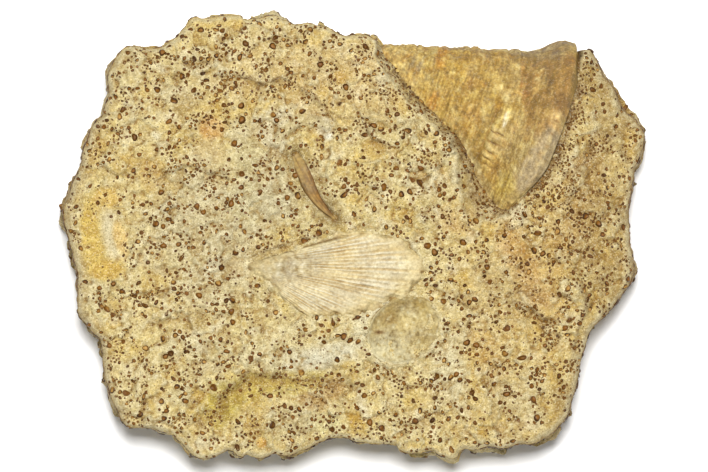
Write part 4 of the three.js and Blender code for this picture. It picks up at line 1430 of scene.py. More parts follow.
    def paint(self, points: Array, cavity: Array, shade: Array, steep: Array, face: bool) -> Coat:
        """Colours of the stone.

        Args:
            points: Rows of x, y, z.
            cavity: How far each place lies below its surroundings, in millimetres, which sets painted
                shade in hollows and painted highlight on crests.
            shade: Painted shadow at the foot of a ledge or a wall.
            steep: How far it is a steep wall.
            face: Whether it belongs to the upper face, which has the stains.

        Returns:
            The coat, one row for each point.
        """
        n, x, y = self.noise, points[:, 0], points[:, 1]
        coat = Coat("e9d69f", len(points))
        coat.add("d5c99f", 0.15 + 2.2 * n.layers(points + 400, 20.0, 3))
        coat.add("dcbb66", 0.14 + 2.0 * n.layers(points + 500, 9.0, 3))
        coat.add("f6eaca", 2.2 * n.layers(points + 600, 4.5, 3))
        if face:
            coat.add("c99748", 0.2 * smooth(12, 42, x))
            coat.add("eabb7c", 0.26 * hump(x, -6.0, 26.0) * hump(y, 41.0, 12.0))
            wobble = n.layers(points * (1, 1, 0) + 210, 5.0, 3) * 1.6
            for stain in self.stains:
                coat.add(stain.colour, stain.strength * stain.share(x, y, wobble))
            for ridge in self.ridges:
                coat.add(ridge.colour, ridge.strength * ridge.share(x, y))
            _, far = line_distance(self.sliver.line(), x, y)
            coat.add("8a7444", 0.7 * (1 - smooth(1.6, 4.0, far + 0.4 * wobble)))
            rough = 1 - 0.65 * self.calm(x, y, wobble / 1.6)
        else:
            rough = np.ones(len(points))
        share = self.share(x, y)
        rim = smooth(0.93, 0.99, share) * (0.55 + n.layers(points + 700, 6.0, 2))
        coat.add("dfb75a", rim * 0.85)
        # painted shade on the rolled edge at the block's left and right ends
        sides = smooth(38, 60, np.abs(x + 4)) * smooth(0.94, 0.985, share)
        coat.add("86683a", 0.58 * sides)
        coat.add("a8864c", 1.3 * rough * past(n.layers(points + 800, 1.7, 3), 0.12) * (1 + steep))
        # painted light: the steep wall round the snail is made paler against its own shading
        coat.add("f4dc9c", 0.7 * steep)
        coat.add("4e3010", 6.5 * past(n.layers(points + 820, 1.2, 2), 0.06) * steep)
        coat.add("f8f0d8", 1.1 * rough * past(-n.layers(points + 900, 1.4, 3), 0.06))
        # painted shade in small hollows and painted highlight on the crests between them
        coat.add("8a6732", smooth(0.08, 0.45, cavity) * 0.7)
        coat.add("f6ecd0", smooth(0.06, 0.4, -cavity) * 0.55)
        # painted shadow at the feet of ledges and walls
        coat.add("644219", shade * (0.8 + 1.4 * n.layers(points + 950, 1.3, 2)))
        coat.grain(0.22 * n.layers(points + 990, 0.75, 2) * rough)
        return coat

    def _seat_grains(self, points: Array) -> Array:
        """Lowers the face beneath each grain, so that it sits in a socket.

        Args:
            points: Rows of x, y, z of the face, changed in place.

        Returns:
            How far each point belongs to the pale collar round a grain, 0 to 1.
        """
        collar = np.zeros(len(points))
        tree = KDTree(len(points))
        for k, (px, py, pz) in enumerate(points.tolist()):
            tree.insert((px, py, 0.0), k)
        tree.balance()
        for grain in self.grains:
            gx, gy, _ = grain.at
            for _, k, far in tree.find_range((gx, gy, 0.0), grain.radius + self.collar):
                near = far / (grain.radius * self.socket_reach)
                points[k, 2] -= grain.radius * grain.kind.socket * max(0.0, 1 - near * near)
                collar[k] = max(collar[k], 1 - max(0.0, far - grain.radius) / self.collar)
        return collar

    def _hollows(self, height: Array, turns: int) -> Array:
        """How far each place of a square grid lies below its surroundings.

        Args:
            height: Heights, rows by columns.
            turns: How often the surroundings are averaged.

        Returns:
            One value for each place, in the grid's order.
        """
        near = height.copy()
        for _ in range(turns):
            near[1:-1, 1:-1] = (near[:-2, 1:-1] + near[2:, 1:-1] + near[1:-1, :-2] + near[1:-1, 2:]) / 4
        return (near - height).ravel()

    def build_face(self) -> list[bpy.types.Object]:
        """Makes the upper face as a west and an east half.

        Returns:
            The two dressed pieces.
        """
        n = self.cells
        line = np.linspace(-1, 1, n + 1)
        a, b = np.meshgrid(line, line, indexing="ij")
        # Squares round the centre, each bent into a ring of the block's outline.
        wide = np.abs(a) > np.abs(b)
        safe_a, safe_b = np.where(a == 0, 1, a), np.where(b == 0, 1, b)
        share = np.where(wide, a, b)
        theta = np.where(wide, math.pi / 4 * b / safe_a, math.pi / 2 - math.pi / 4 * a / safe_b)
        theta = np.where(share < 0, theta + math.pi, theta).ravel()
        share = np.abs(share).ravel() * self.border
        reach = share * self.edge(theta)
        x, y = reach * np.cos(theta), reach * np.sin(theta)
        height, shade, steep = self.surface(x, y)
        points = column(x, y, self.rolled(height, share))
        collar = self._seat_grains(points)
        grid = points[:, 2].reshape(n + 1, n + 1)
        coat = self.paint(points, self._hollows(grid, 6), shade, steep, True)
        coat.add("f3e8cb", 0.28 * collar)
        # painted shade in broad hollows and painted light on broad rises
        broad = np.tanh(self._hollows(grid, 60) / 0.7)
        coat.add("8c6a34", 0.38 * np.clip(broad, 0, 1))
        coat.add("f3e6bf", 0.4 * np.clip(-broad, 0, 1))
        made, middle = [], n // 2
        for name, first, last in (("limestone_face_west", 0, middle), ("limestone_face_east", middle, n)):
            keep = slice(first * (n + 1), (last + 1) * (n + 1))
            faces = [grid_faces(last - first + 1, n + 1)]
            made.append(self._dress(make_piece(name, points[keep], faces, coat.rows[keep], plan_map=True)))
        return made

    def _dress(self, piece: bpy.types.Object) -> bpy.types.Object:
        """Gives a piece of the block its finish and its place in the frame.

        Args:
            piece: The piece.

        Returns:
            The same piece.
        """
        piece.data.materials.append(self.material)
        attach(piece, "root")
        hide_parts("matrix")
        return piece

    def flank_places(self, theta: Array, down: Array) -> Array:
        """Points of the broken flank.

        Args:
            theta: Direction from the centre.
            down: 0 at the upper face's border, 1 at the foot.

        Returns:
            Rows of x, y, z.
        """
        edge = self.edge(theta)
        rim_x, rim_y = 0.955 * edge * np.cos(theta), 0.955 * edge * np.sin(theta)
        rim = self.plain(rim_x, rim_y) - 2.6
        knots, hold, lift = np.array(((0.0, self.border, 0.85), *self.fall)).T
        under = 1.15 + 0.6 * np.sin(3 * theta + 0.9) + 0.3 * np.sin(8 * theta - 1.1)
        share = np.interp(down, knots, hold)
        share = 1 - (1 - share) * np.where(down > 0.3, under, 1.0)
        level = np.interp(down, knots, lift)
        reach = share * edge
        x, y = reach * np.cos(theta), reach * np.sin(theta)
        z = level * rim
        rough = self.crumble(column(x, y, z) + 35)
        rough += 0.8 * self.noise.layers(column(x, y, z * 2.2) + 15, 11.0, 2)
        free = smooth(0.14, 0.4, down) * smooth(1.0, 0.9, down)
        reach = reach + rough * free * 1.25
        x, y = reach * np.cos(theta), reach * np.sin(theta)
        z = z + 0.5 * rough * smooth(0.0, 0.2, down) * smooth(1.0, 0.85, down)
        # The flank starts at the height of the face's border, and stays below the snail.
        height = self.surface(self.border * edge * np.cos(theta), self.border * edge * np.sin(theta))[0]
        joint = self.rolled(height, np.full_like(theta, self.border))
        z = z + (joint - 0.85 * rim) * (1 - smooth(0.0, 0.3, down))
        below = (x > 6.8) & (x < 56.9) & (y > 30)
        lip = np.where(below, self.snail.top(np.maximum(x, 3.0), y) - 1.3, 1e3)
        return column(x, y, np.clip(np.minimum(z, lip), 0.0, None))

    def hollow(self, flat: Array) -> Array:
        """How far places of the underside lie above the ground."""
        return np.clip(0.5 + 1.2 * self.noise.layers(flat + 77, 12.0, 3), 0, 1.6)

    def build_flank(self) -> bpy.types.Object:
        """Makes the broken side and the underside as one piece.

        Returns:
            The dressed piece.
        """
        rows, columns = self.flank_rows, self.flank_columns
        down = np.linspace(0, 1, rows)
        theta = np.linspace(0, TURN, columns, endpoint=False)
        d, t = np.meshgrid(down, theta, indexing="ij")
        side = self.flank_places(t.ravel(), d.ravel()).reshape(rows, columns, 3)
        foot = side[-1]
        inner = np.linspace(1, 0, self.floor_rings + 1)[1:-1, None, None]
        flat = (foot[None] * np.concatenate([inner, inner, inner * 0], axis=2)).reshape(-1, 3)
        flat[:, 2] = self.hollow(flat) * np.repeat(smooth(1.0, 0.9, inner.ravel()), columns)
        points = np.concatenate([side.reshape(-1, 3), flat, [[0.0, 0.0, 0.4]]])
        whole = rows + len(inner)
        faces = grid_faces(whole, columns, closed=True)
        ring = (whole - 1) * columns + np.arange(columns)
        cap = column(ring, np.full(columns, len(points) - 1), np.roll(ring, -1))
        none = np.zeros(len(points))
        # painted shade in the flank's hollows and painted highlight on its bumps, from its broken relief
        coat = self.paint(points, -0.5 * self.crumble(points + 35), none, none, False)
        return self._dress(make_piece("limestone_flank", points, [faces, cap], coat.rows))


# ---- shells let into the face


@dataclass
class RibbedShell:
    """The fan-ribbed shell, half sunk in the stone."""

    stone: Limestone
    ribs: int = 33
    rows: int = 110
    columns: int = 250
    thick: float = 0.8
    slot: str = "ribbed_stone"
    noise: RockNoise = RockNoise(23)
    finish: ShellFinish = ShellFinish(
        "ribbed_stone", "75582c", "fff6dc", 0.55, 0.18, 0.55, (0.6, 0.85), 0.28
    )

    def build(self) -> bpy.types.Object:
        """Makes the shell and dresses it.

        Returns:
            The dressed piece.
        """
        noise = self.noise.layers
        plan = self.stone.fan
        low, high = plan.fan[0][0], plan.fan[-1][0]
        span = np.linspace(0, 1, self.rows), np.linspace(0, 1, self.columns)
        out, across = (part.ravel() for part in np.meshgrid(*span, indexing="ij"))
        deg = low - 3 + (high - low + 6) * across
        inner = (deg - low) / (high - low)
        far = plan.reach(deg) + 1.0
        r = 1.0 + (far - 1.0) * out
        x = plan.beak[0] + r * np.cos(np.radians(deg)) - 0.6
        y = plan.beak[1] + r * np.sin(np.radians(deg))
        flat = column(x, y, 0.0)
        wobble = noise(flat, 6.0, 3)
        share = np.clip(r / plan.reach(deg), 0, 1.05)
        held = np.clip(inner, 0, 1)
        dome = 1.2 * np.sin(math.pi * np.clip(share, 0, 1) ** 0.7) * np.sin(math.pi * held) ** 0.6
        sunk = 0.7 * smooth(0.86, 1, held) * (1 - smooth(0.6, 1, share))
        phase = self.ribs * held + 0.25 * wobble
        wave = 0.5 + 0.5 * np.cos(TURN * phase)
        uneven = noise(column(phase, share * 2.5, 3.0), 1.0, 2)
        strength = smooth(0.2, 0.45, share) * np.clip(0.75 + 2.2 * uneven, 0.0, 1.4)
        strength = strength * (1 - 0.5 * smooth(0.8, 1.0, share))
        rib = 0.27 * strength * (wave**0.6 - 0.6)
        growth = 0.05 * np.cos(TURN * (r / 1.9 + 0.8 * wobble)) * smooth(0.2, 0.5, share)
        lumps = 1.3 * (1 - smooth(0.2, 0.45, share)) * noise(flat + 30, 2.6, 4, 0.6)
        worn = 0.6 * noise(flat + 60, 3.8, 3) + 0.25 * noise(flat + 64, 1.2, 3)
        frayed = (2.5 + 3.0 * smooth(0.6, 1.0, share)) * noise(flat + 200, 3.2, 3)
        side = plan.inside(x, y) + frayed
        edge = -0.75 * smooth(1.8, -0.2, side) - 1.2 * smooth(0.0, -0.9, side)
        z = self.stone.plain(x, y) + 0.1 + dome - sunk + rib + growth + lumps + worn + edge
        coat = Coat("d6c7a0", len(x))
        coat.add("d9bd82", 0.25 + 0.9 * noise(flat + 90, 7.0, 3))
        coat.add("ebdfc0", smooth(0.45, 0.8, share) * 0.4 * smooth(0.25, 0.5, held))
        coat.add("b7a988", (1 - smooth(0.18, 0.5, share)) * 0.85)
        wrinkled = noise(flat + 230, 1.5, 3) * (1 - smooth(0.25, 0.55, share))
        coat.add("8d7649", 2.6 * past(wrinkled, 0.03))
        coat.add("e6dcc0", 2.6 * past(-wrinkled, 0.03))
        streaky = noise(column(phase * 0.6, share * 4.0, 0.0), 1.0, 3)
        coat.add("c3a469", 1.2 * np.clip(streaky, 0, 1) * smooth(0.3, 0.6, share))
        coat.add("f5ecd0", 1.2 * np.clip(-streaky, 0, 1) * smooth(0.3, 0.6, share))
        # painted shade in the grooves between the ribs and painted highlight on their crests
        between = 0.35 + 0.5 * noise(flat + 120, 4.0, 2)
        coat.add("b48d52", (1 - wave) ** 2 * strength * between)
        coat.add("f8efd6", wave**3 * strength * 0.4)
        coat.add("d9c289", smooth(0.78, 1.0, share) * 0.6)
        coat.add("cbb88c", 0.55 * (1 - smooth(5.0, 14.0, r)))
        coat.add("d2bd88", smooth(3.4, 0.4, side) * 0.85)
        coat.add("8f6d3a", 2.2 * smooth(3.0, 0.5, side) * past(noise(flat + 260, 1.6, 3), 0.05))
        crack = hump(held, 0.93, 0.012) * smooth(0.1, 0.3, share) * (1 - smooth(0.75, 0.95, share))
        coat.add("7d6236", crack * 0.85)
        z = z - 0.35 * crack
        coat.add("a98a55", 1.3 * past(noise(flat + 170, 1.4, 3), 0.12))
        coat.grain(0.2 * noise(flat + 150, 0.7, 2), (0.96, 0.985, 1.03))
        grid = column(x, y, z).reshape(self.rows, self.columns, 3)
        points, faces = sunk_plate(grid, self.thick)
        piece = make_piece("ribbed_valve", points, faces, coat.filled("c9ac72", len(points)))
        piece.data.materials.append(self.finish.material())
        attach(piece, "root")
        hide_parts("ribbed_shell")
        return piece


@dataclass
class OvalShell:
    """The oval shell, a shallow dish open to the top."""

    stone: Limestone
    rows: int = 56
    columns: int = 200
    thick: float = 0.8
    slot: str = "oval_stone"
    noise: RockNoise = RockNoise(31)
    finish: ShellFinish = ShellFinish(
        "oval_stone", "5f4820", "f4e9c6", 0.55, 0.22, 0.6, (0.6, 0.85), 0.28
    )

    def build(self) -> bpy.types.Object:
        """Makes the shell and dresses it.

        Returns:
            The dressed piece.
        """
        noise = self.noise.layers
        plan = self.stone.oval
        span = np.linspace(0.01, 1.15, self.rows), np.linspace(0, TURN, self.columns)
        share, around = (part.ravel() for part in np.meshgrid(*span, indexing="ij"))
        around = np.where(around >= TURN, 0.0, around)
        x, y = plan.place(share, around)
        flat = column(x, y, 0.0)
        wobble = noise(flat, 5.0, 3)
        dx, dy = x - plan.at[0], y - plan.at[1]
        left = smooth(2.0, -5.0, dx + 0.4 * dy)
        bowl = plan.deep * (1 - np.clip(share, 0, 1) ** 2.4)
        rings = 0.03 * np.cos(TURN * (share * 8 + 2.5 * wobble)) * smooth(0.4, 0.7, share)
        worn = 0.7 * noise(flat + 30, 4.2, 3) + 0.3 * noise(flat + 60, 1.3, 3)
        lip = 0.3 * left * hump(share, 0.97, 0.04) - 1.8 * smooth(1.03, 1.14, share)
        z = self.stone.plain(x, y) - 0.2 - bowl + rings + worn * (1 - 0.5 * smooth(0.8, 1, share)) + lip
        coat = Coat("cdba8c", len(x))
        coat.add("b39b62", 0.3 + 1.6 * noise(flat + 90, 5.0, 3))
        lower = smooth(2.0, -6.0, dx * 0.6 + dy * 0.8)
        coat.add("d3c8a6", 0.75 * lower)
        # painted shade on the upper inner wall of the dish
        upper = smooth(0.4, 0.9, share) * smooth(0.0, 6.0, dy - 0.7 * dx)
        coat.add("a88c52", 0.45 * upper)
        coat.add("8f6e38", 0.6 * hump(np.hypot(dx + 3.3, dy - 3.0), 0.0, 1.6))
        coat.add("5f3c16", 0.9 * hump(np.hypot((dx + 6.0) / 1.1, (dy + 0.4) / 0.5), 0.0, 1.0))
        fine = noise(flat + 120, 1.1, 3)
        coat.add("8e7742", 2.0 * past(fine, 0.06))
        coat.add("ddd2ae", 2.0 * past(-fine, 0.06))
        coat.add("e3dabd", hump(share, 0.97, 0.05) * (0.1 + 0.4 * left))
        coat.add("6b5129", hump(share, 1.03, 0.025) * 0.5 * left)
        coat.grain(0.14 * noise(flat + 150, 0.8, 2), (0.965, 0.985, 1.0))
        coat.rows = coat.rows.reshape(self.rows, self.columns, 3)[:, :-1].reshape(-1, 3)
        grid = column(x, y, z).reshape(self.rows, self.columns, 3)
        points, faces = ring_dish(grid, self.thick)
        piece = make_piece("oval_valve", points, faces, coat.filled("b9a26c", len(points)))
        piece.data.materials.append(self.finish.material())
        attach(piece, "root")
        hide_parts("oval_shell")
        return piece


def ring_dish(grid: Array, depth: float) -> tuple[Array, list]:
    """Closes rings of points with a middle, an upright edge and a flat underside.

    Args:
        grid: Rings by columns of x, y, z, whose last column repeats the first.
        depth: How far below its lowest edge point the underside lies.

    Returns:
        All the points, and the faces.
    """
    grid = grid[:, :-1]
    rings, columns = grid.shape[:2]
    flat = grid.reshape(-1, 3)
    n = len(flat)
    middle = grid[0].mean(axis=0)
    under = grid[-1].copy()
    under[:, 2] = under[:, 2].min() - depth
    low = n + 1 + np.arange(columns)
    base = n + 1 + columns
    first, edge = np.arange(columns), (rings - 1) * columns + np.arange(columns)
    faces = [
        grid_faces(rings, columns, closed=True),
        column(np.full(columns, n), first, np.roll(first, -1)),
        column(edge, low, np.roll(low, -1), np.roll(edge, -1)),
        column(low, np.full(columns, base), np.roll(low, -1)),
    ]
    return np.vstack([flat, middle, under, under.mean(axis=0)]), faces


@dataclass
class CurvedShell:
    """The bent sliver of shell seen on its edge."""

    stone: Limestone
    along: int = 150
    across: int = 26
    thick: float = 0.6
    slot: str = "curved_stone"
    noise: RockNoise = RockNoise(41)
    finish: ShellFinish = ShellFinish(
        "curved_stone", "5a3a16", "f0d8a4", 0.5, 0.18, 0.5, (0.5, 0.75), 0.3
    )

    def build(self) -> bpy.types.Object:
        """Makes the shell and dresses it.

        Returns:
            The dressed piece.
        """
        noise = self.noise.layers
        path = np.array(self.stone.sliver.path)
        knots = np.concatenate([[0], np.cumsum(np.hypot(*np.diff(path[:, :2], axis=0).T))])
        run = np.linspace(0, knots[-1], self.along)
        middle = np.stack([eased(knots, path[:, k], run) for k in range(3)], axis=1)
        ahead = np.gradient(middle[:, :2], axis=0)
        ahead /= np.hypot(ahead[:, 0], ahead[:, 1])[:, None]
        f = np.linspace(-1.25, 1.25, self.across)
        half = middle[:, 2][:, None]
        x = middle[:, 0][:, None] - ahead[:, 1][:, None] * f * half
        y = middle[:, 1][:, None] + ahead[:, 0][:, None] * f * half
        shape = x.shape
        x, y = x.ravel(), y.ravel()
        g = np.broadcast_to(f, shape).ravel()
        length = np.broadcast_to((run / knots[-1])[:, None], shape).ravel()
        flat = column(x, y, 0.0)
        crown = 0.4 - 0.4 * g * g - 0.3 * smooth(0.0, 0.7, g)
        ends = smooth(0.2, 0.0, length) + smooth(0.86, 1.0, length)
        fall = -0.9 * smooth(0.66, 0.9, g) - 0.8 * smooth(-0.9, -1.2, g) - 0.9 * ends
        drawn = noise(column(g * 4.6, length * 1.5, 0.0), 1.0, 3, 0.6)
        rough = 0.3 * drawn + 0.16 * noise(flat + 20, 1.6, 3)
        z = self.stone.plain(x, y) + crown + fall + rough
        coat = Coat("b3925c", len(x))
        coat.add("d3bd8c", 0.9 * smooth(0.2, -0.9, g) + 0.9 * noise(flat + 40, 3.0, 3))
        coat.add("86632f", smooth(0.0, 0.6, g) * 0.8)
        coat.add("c8ae78", smooth(-0.5, -1.0, g) * 0.7)
        # the fibres, and painted shadow along the right edge
        coat.add("7a5628", 1.8 * np.clip(drawn, 0, 1) + 0.8 * hump(g, 0.75, 0.14))
        coat.add("cba25c", 1.8 * np.clip(-drawn, 0, 1))
        # painted shadow along the left edge
        coat.add("6e5426", 0.8 * hump(g, -0.92, 0.1))
        fading = smooth(0.3, 0.02, length + 0.5 * drawn) + smooth(0.9, 1.0, length)
        coat.add("d2bc86", 0.85 * np.clip(fading, 0, 1))
        coat.grain(0.25 * noise(flat + 80, 0.7, 2), (0.84, 0.8274, 0.756))
        grid = column(x, y, z).reshape(*shape, 3)
        points, faces = sunk_plate(grid, self.thick)
        piece = make_piece("curved_valve", points, faces, coat.filled("8a6330", len(points)))
        piece.data.materials.append(self.finish.material())
        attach(piece, "root")
        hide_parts("curved_shell")
        return piece


def eased(knots: Array, values: Array, where: Array) -> Array:
    """A smooth curve through values at knots.

    Args:
        knots: Rising places.
        values: A value for each.
        where: Places to read.

    Returns:
        The curve's values there.
    """
    slope = np.gradient(values, knots)
    k = np.clip(np.searchsorted(knots, where) - 1, 0, len(knots) - 2)
    step = knots[k + 1] - knots[k]
    t = (where - knots[k]) / step
    a, b, c = 2 * t**3 - 3 * t**2 + 1, t**3 - 2 * t**2 + t, t**3 - t**2
    return a * values[k] + b * step * slope[k] + (1 - a) * values[k + 1] + c * step * slope[k + 1]


# ---- the grains in the stone


@dataclass
class GrainField:
    """All the round grains of the stone and the small specks between them."""

    stone: Limestone
    seed: int = 5
    spacing: float = 0.05
    steep_side: float = 34.0  # first coordinate up to which the snail's wall is steep
    mix: tuple = (0.36, 0.92)  # draws below the first are whole grains, below the second broken
    least: float = 0.16
    least_speck: float = 0.11
    tries: int = 190000
    thickest: float = 16.0
    lean: float = 0.27
    finish: GrainFinish = GrainFinish("grain_stone")
    skins: tuple = ("523406", "66420c", "462a02", "724c10", "5a3a08")
    hearts: tuple = ("8c6224", "a07a38", "785018", "bc9854", "6c4810", "865a1a")

    # centre, half sizes, turn in degrees, and how many times as many grains lie there
    crowds: tuple = (
        ((-42, 40), (16, 13), 0, 1.35), ((-20, 44), (14, 9), 0, 1.7), ((-2, 38), (10, 8), 0, 1.3),
        ((13, 31), (4, 14), 38, 2), ((27, 15), (4, 16), 25, 1.9), ((60, -4), (7, 14), 0, 2.1),
        ((52, -22), (5, 10), -20, 1.4), ((-43, -12), (12, 14), 0, 1.25),
        ((-46, -35), (14, 12), 0, 1.25), ((9, -40), (10, 9), 0, 1.2),
        ((40, -38), (14, 12), 0, 1.25), ((24, -6), (9, 8), 0, 1.3), ((52, 3), (5, 9), 40, 1.9),
        ((-8, -20), (14, 3), 8, 1.5), ((-13, 16), (9, 6), 0, 1.2), ((-62, 25), (6, 14), 0, 1.4),
        ((-68, 8), (3, 9), 0, 1.5), ((-15, -44), (6, 3), 10, 1.6), ((48, 12), (2.5, 10), -38, 2.2),
        ((55.5, 27), (1.6, 9), -20, 2), ((-28, 38.5), (9, 3), 0, 1.5), ((57, 8), (5, 13), -8, 2),
        ((-30, 42), (9, 6), 0, 1.5),
    )
    gaps: tuple = (
        ((-6, -30), (11, 4.5), 10, 0.15), ((-22, -34), (13, 5), 10, 0.3),
        ((-31, -43), (5, 7), -35, 0.2), ((-17, 10), (6, 4), 0, 0.4),
        ((-35.5, 22.5), (4.5, 6.5), 0, 0.15), ((-61.5, -1), (6, 12), 0, 0.04),
        ((5, 21.9), (4, 3), -10, 0.1), ((63.5, 31), (6, 8), 25, 0.4), ((31, 3), (7, 4), 0, 0.5),
        ((40, -14), (9, 4), 20, 0.5), ((-3, -40), (5, 3.5), 40, 0.25), ((-26, -14), (8, 4), 0, 0.5),
        ((24.5, -19), (5, 10), 0, 0.6), ((-58, 16), (7, 3), 20, 0.4), ((-35, 54), (8, 2), 0, 0.1),
        ((22, 2), (6, 4), 0, 0.6), ((35, -46), (9, 4), 0, 0.5), ((-38, -44), (5, 5), 0, 0.6),
        ((-2, 24), (6, 6), 0, 0.6), ((-52, -20), (5, 5), 0, 0.6), ((18, -48), (6, 4), 0, 0.5),
        ((-30, -2), (5, 7), 0, 0.5),
    )
    # the clearest grains: x, y, radius
    marked: tuple = (
        (-2.0, 37.1, 1.0), (-20.2, 47.4, 1.1), (5.0, 27.6, 1.0), (7.5, 12.1, 1.15),
        (27.2, -1.6, 1.1), (18.5, -2.4, 1.1), (20.0, -3.9, 1.1), (-28.0, 29.1, 1.15),
        (-28.2, 32.6, 1.0), (-38.2, 51.4, 0.95), (-34.2, 45.1, 0.75), (-43.0, 39.9, 0.95),
        (-30.5, 8.1, 1.0), (-37.5, 6.1, 0.85), (-42.0, -41.1, 1.0), (-44.2, -37.6, 0.9),
        (-30.5, -18.9, 1.0), (-38.5, -14.6, 0.95), (45.7, -45.1, 1.1), (10.5, 17.1, 0.9),
        (11.7, 10.4, 0.95), (14.0, 11.1, 0.9), (26.2, -5.6, 0.7), (10.0, -14.0, 0.6),
        (-49.0, 36.4, 1.0), (-51.5, 36.4, 0.7), (-66.0, -22.0, 0.9), (-60.0, -11.8, 0.8),
        (-63.5, -12.8, 0.8), (-47.0, -30.0, 0.9), (2.6, -39.8, 0.9), (12.4, -36.6, 0.8),
        (-47.5, -2.2, 0.9), (-43.8, -2.0, 0.8), (-47.6, 2.6, 0.8), (-53.5, 20.4, 0.7),
        (45.0, -3.4, 1.0), (47.0, -4.3, 0.9), (33.2, -7.8, 0.9), (28.0, -26.5, 1.0),
        (30.5, -27.0, 1.0), (25.5, -34.3, 0.85), (35.0, -36.8, 0.9), (61.0, 3.3, 1.0),
        (28.8, -16.4, 0.8), (-14.6, 15.2, 0.95), (-16.6, 9.6, 0.85), (-2.5, 12.5, 0.85),
    )

    def __post_init__(self) -> None:
        """Starts the random draws and makes the grains' material."""
        self.random = np.random.default_rng(self.seed)
        self.material = self.finish.material()

    def _places(self, count: int) -> tuple[Array, Array]:
        """Random places over the block's plan."""
        return self.random.uniform(-74, 74, count), self.random.uniform(-57, 57, count)

    def _from_window(self, x: Array, y: Array) -> Array:
        """Distance from places to the snail's opening, and 9 where it is far.

        Args:
            x: First coordinates.
            y: Second coordinates.

        Returns:
            One distance for each place.
        """
        away = np.full_like(x, 9.0)
        near = (x > 0) & (y > 0)
        away[near] = self.stone.window.measure(x[near], y[near])[0]
        return away

    def _crowding(self, x: Array, y: Array) -> Array:
        """How thickly grains lie at places of the upper face, against the usual.

        Args:
            x: First coordinates.
            y: Second coordinates.

        Returns:
            One value for each place, 1 where they lie as usual.
        """
        thick = np.ones_like(x)
        for at, size, turn, times in (*self.crowds, *self.gaps):
            share = Stain(at, size, turn, "000000", 1.0, 0.5).share(x, y, 0.0)
            thick *= 1 + (times - 1) * share
        flat = column(x, y, 0.0)
        patchy = self.stone.noise.layers(flat + 1200, 9.0, 2)
        clumps = self.stone.noise.layers(flat + 1300, 3.4, 2)
        thick *= np.clip(1 + 3.0 * patchy, 0.08, 2.6) * np.clip(0.6 + 6.5 * clumps, 0.02, 4.0)
        for ledge in self.stone.ledges:
            thick *= 1 + 7.0 * abs(ledge.drop) * hump(line_distance(ledge.path, x, y)[1], 0.0, 1.0)
        return thick**1.15 * (1 + 4.5 * hump(self._from_window(x, y), 0.0, 2.2))

    def _free(self, x: Array, y: Array) -> Array:
        """Places of the upper face that no shell covers.

        Args:
            x: First coordinates.
            y: Second coordinates.

        Returns:
            True where a grain may lie.
        """
        clear = (self._from_window(x, y) > 0.3) & (self.stone.fan.inside(x, y) < -0.3)
        clear &= self.stone.oval.share(x, y) > 1.09
        _, far = line_distance(self.stone.sliver.line(), x, y)
        return clear & (far > 2.2) & (self.stone.share(x, y) < 0.985)

    def _shape(self, count: int, median: float, spread: float, most: float) -> tuple[Array, ...]:
        """Radii, stretches, turns and tones for that many grains."""
        radius = np.clip(median * np.exp(spread * self.random.standard_normal(count)), self.least, most)
        stretch = 1 + np.abs(self.random.normal(0, 0.34, count))
        return radius, stretch, self.random.uniform(0, math.pi, count), self.random.random(count)

    def _kinds(self, count: int) -> list[GrainKind]:
        """Random kinds: most are whole, many broken through, some gone."""
        kinds = tuple(GrainKind)
        return [kinds[k] for k in np.searchsorted(self.mix, self.random.random(count), side="right")]

    def scatter_face(self, count: int = 4200) -> list[Grain]:
        """Spreads the grains of the upper face, the marked ones first.

        Args:
            count: How many grains at most.

        Returns:
            The grains, still at height 0.
        """
        x, y = self._places(self.tries)
        draw = self.thickest * self.random.random(self.tries)
        keep = self._free(x, y) & (draw < self._crowding(x, y))
        x, y = x[keep], y[keep]
        radius, stretch, turn, tone = self._shape(len(x), 0.43, 0.36, 0.9)
        kinds = self._kinds(len(x))
        made: list[Grain] = []
        seen: dict = {}
        for gx, gy, r in self.marked:
            self._put(made, seen, Grain((gx, gy, 0.0), 0.88 * r, GrainKind.WHOLE, 1.08, gx, gx % 1))
        for grain in self._beside_snail():
            self._put(made, seen, grain)
        for k in range(len(x)):
            if len(made) >= count:
                break
            grain = Grain((x[k], y[k], 0.0), radius[k], kinds[k], stretch[k], turn[k], tone[k])
            self._put(made, seen, grain)
        return made

    def _beside_snail(self, count: int = 420) -> list[Grain]:
        """Small grains crowded along the wall round the snail.

        Args:
            count: How many are tried.

        Returns:
            The grains that lie on the face.
        """
        path = np.array([corner[:2] for corner in self.stone.window.corners[2:24]])
        run = np.concatenate([[0], np.cumsum(np.hypot(*np.diff(path, axis=0).T))])
        at = self.random.uniform(0.2, run[-1] - 0.2, count)
        x, y = (np.interp(at, run, path[:, k]) for k in (0, 1))
        ahead_x, ahead_y = (np.interp(at + 0.1, run, path[:, k]) for k in (0, 1))
        away = self.random.uniform(0.12, 2.3, count) / np.hypot(ahead_x - x, ahead_y - y)
        x, y = x + away * (ahead_y - y), y - away * (ahead_x - x)
        radius, stretch, turn, tone = self._shape(count, 0.3, 0.3, 0.55)
        radius *= np.where(x < self.steep_side, 1.55, 1.0)
        kinds = self._kinds(count)
        return [
            Grain((x[k], y[k], 0.0), radius[k], kinds[k], stretch[k], turn[k], tone[k])
            for k in np.flatnonzero(np.hypot(x, y) < 0.97 * self.stone.edge(np.arctan2(y, x)))
        ]

    def _put(self, made: list[Grain], seen: dict, grain: Grain) -> None:
        """Adds a grain unless another lies too near.

        Args:
            made: The grains so far.
            seen: The same grains by square of the plan.
            grain: The new one.
        """
        gx, gy, _ = grain.at
        cell = (int(gx // 2.4), int(gy // 2.4))
        for i in (-1, 0, 1):
            for j in (-1, 0, 1):
                for other in seen.get((cell[0] + i, cell[1] + j), ()):
                    gap = math.hypot(gx - other.at[0], gy - other.at[1])
                    if gap < (grain.radius + other.radius) * 0.94 + self.spacing:
                        return
        seen.setdefault(cell, []).append(grain)
        made.append(grain)

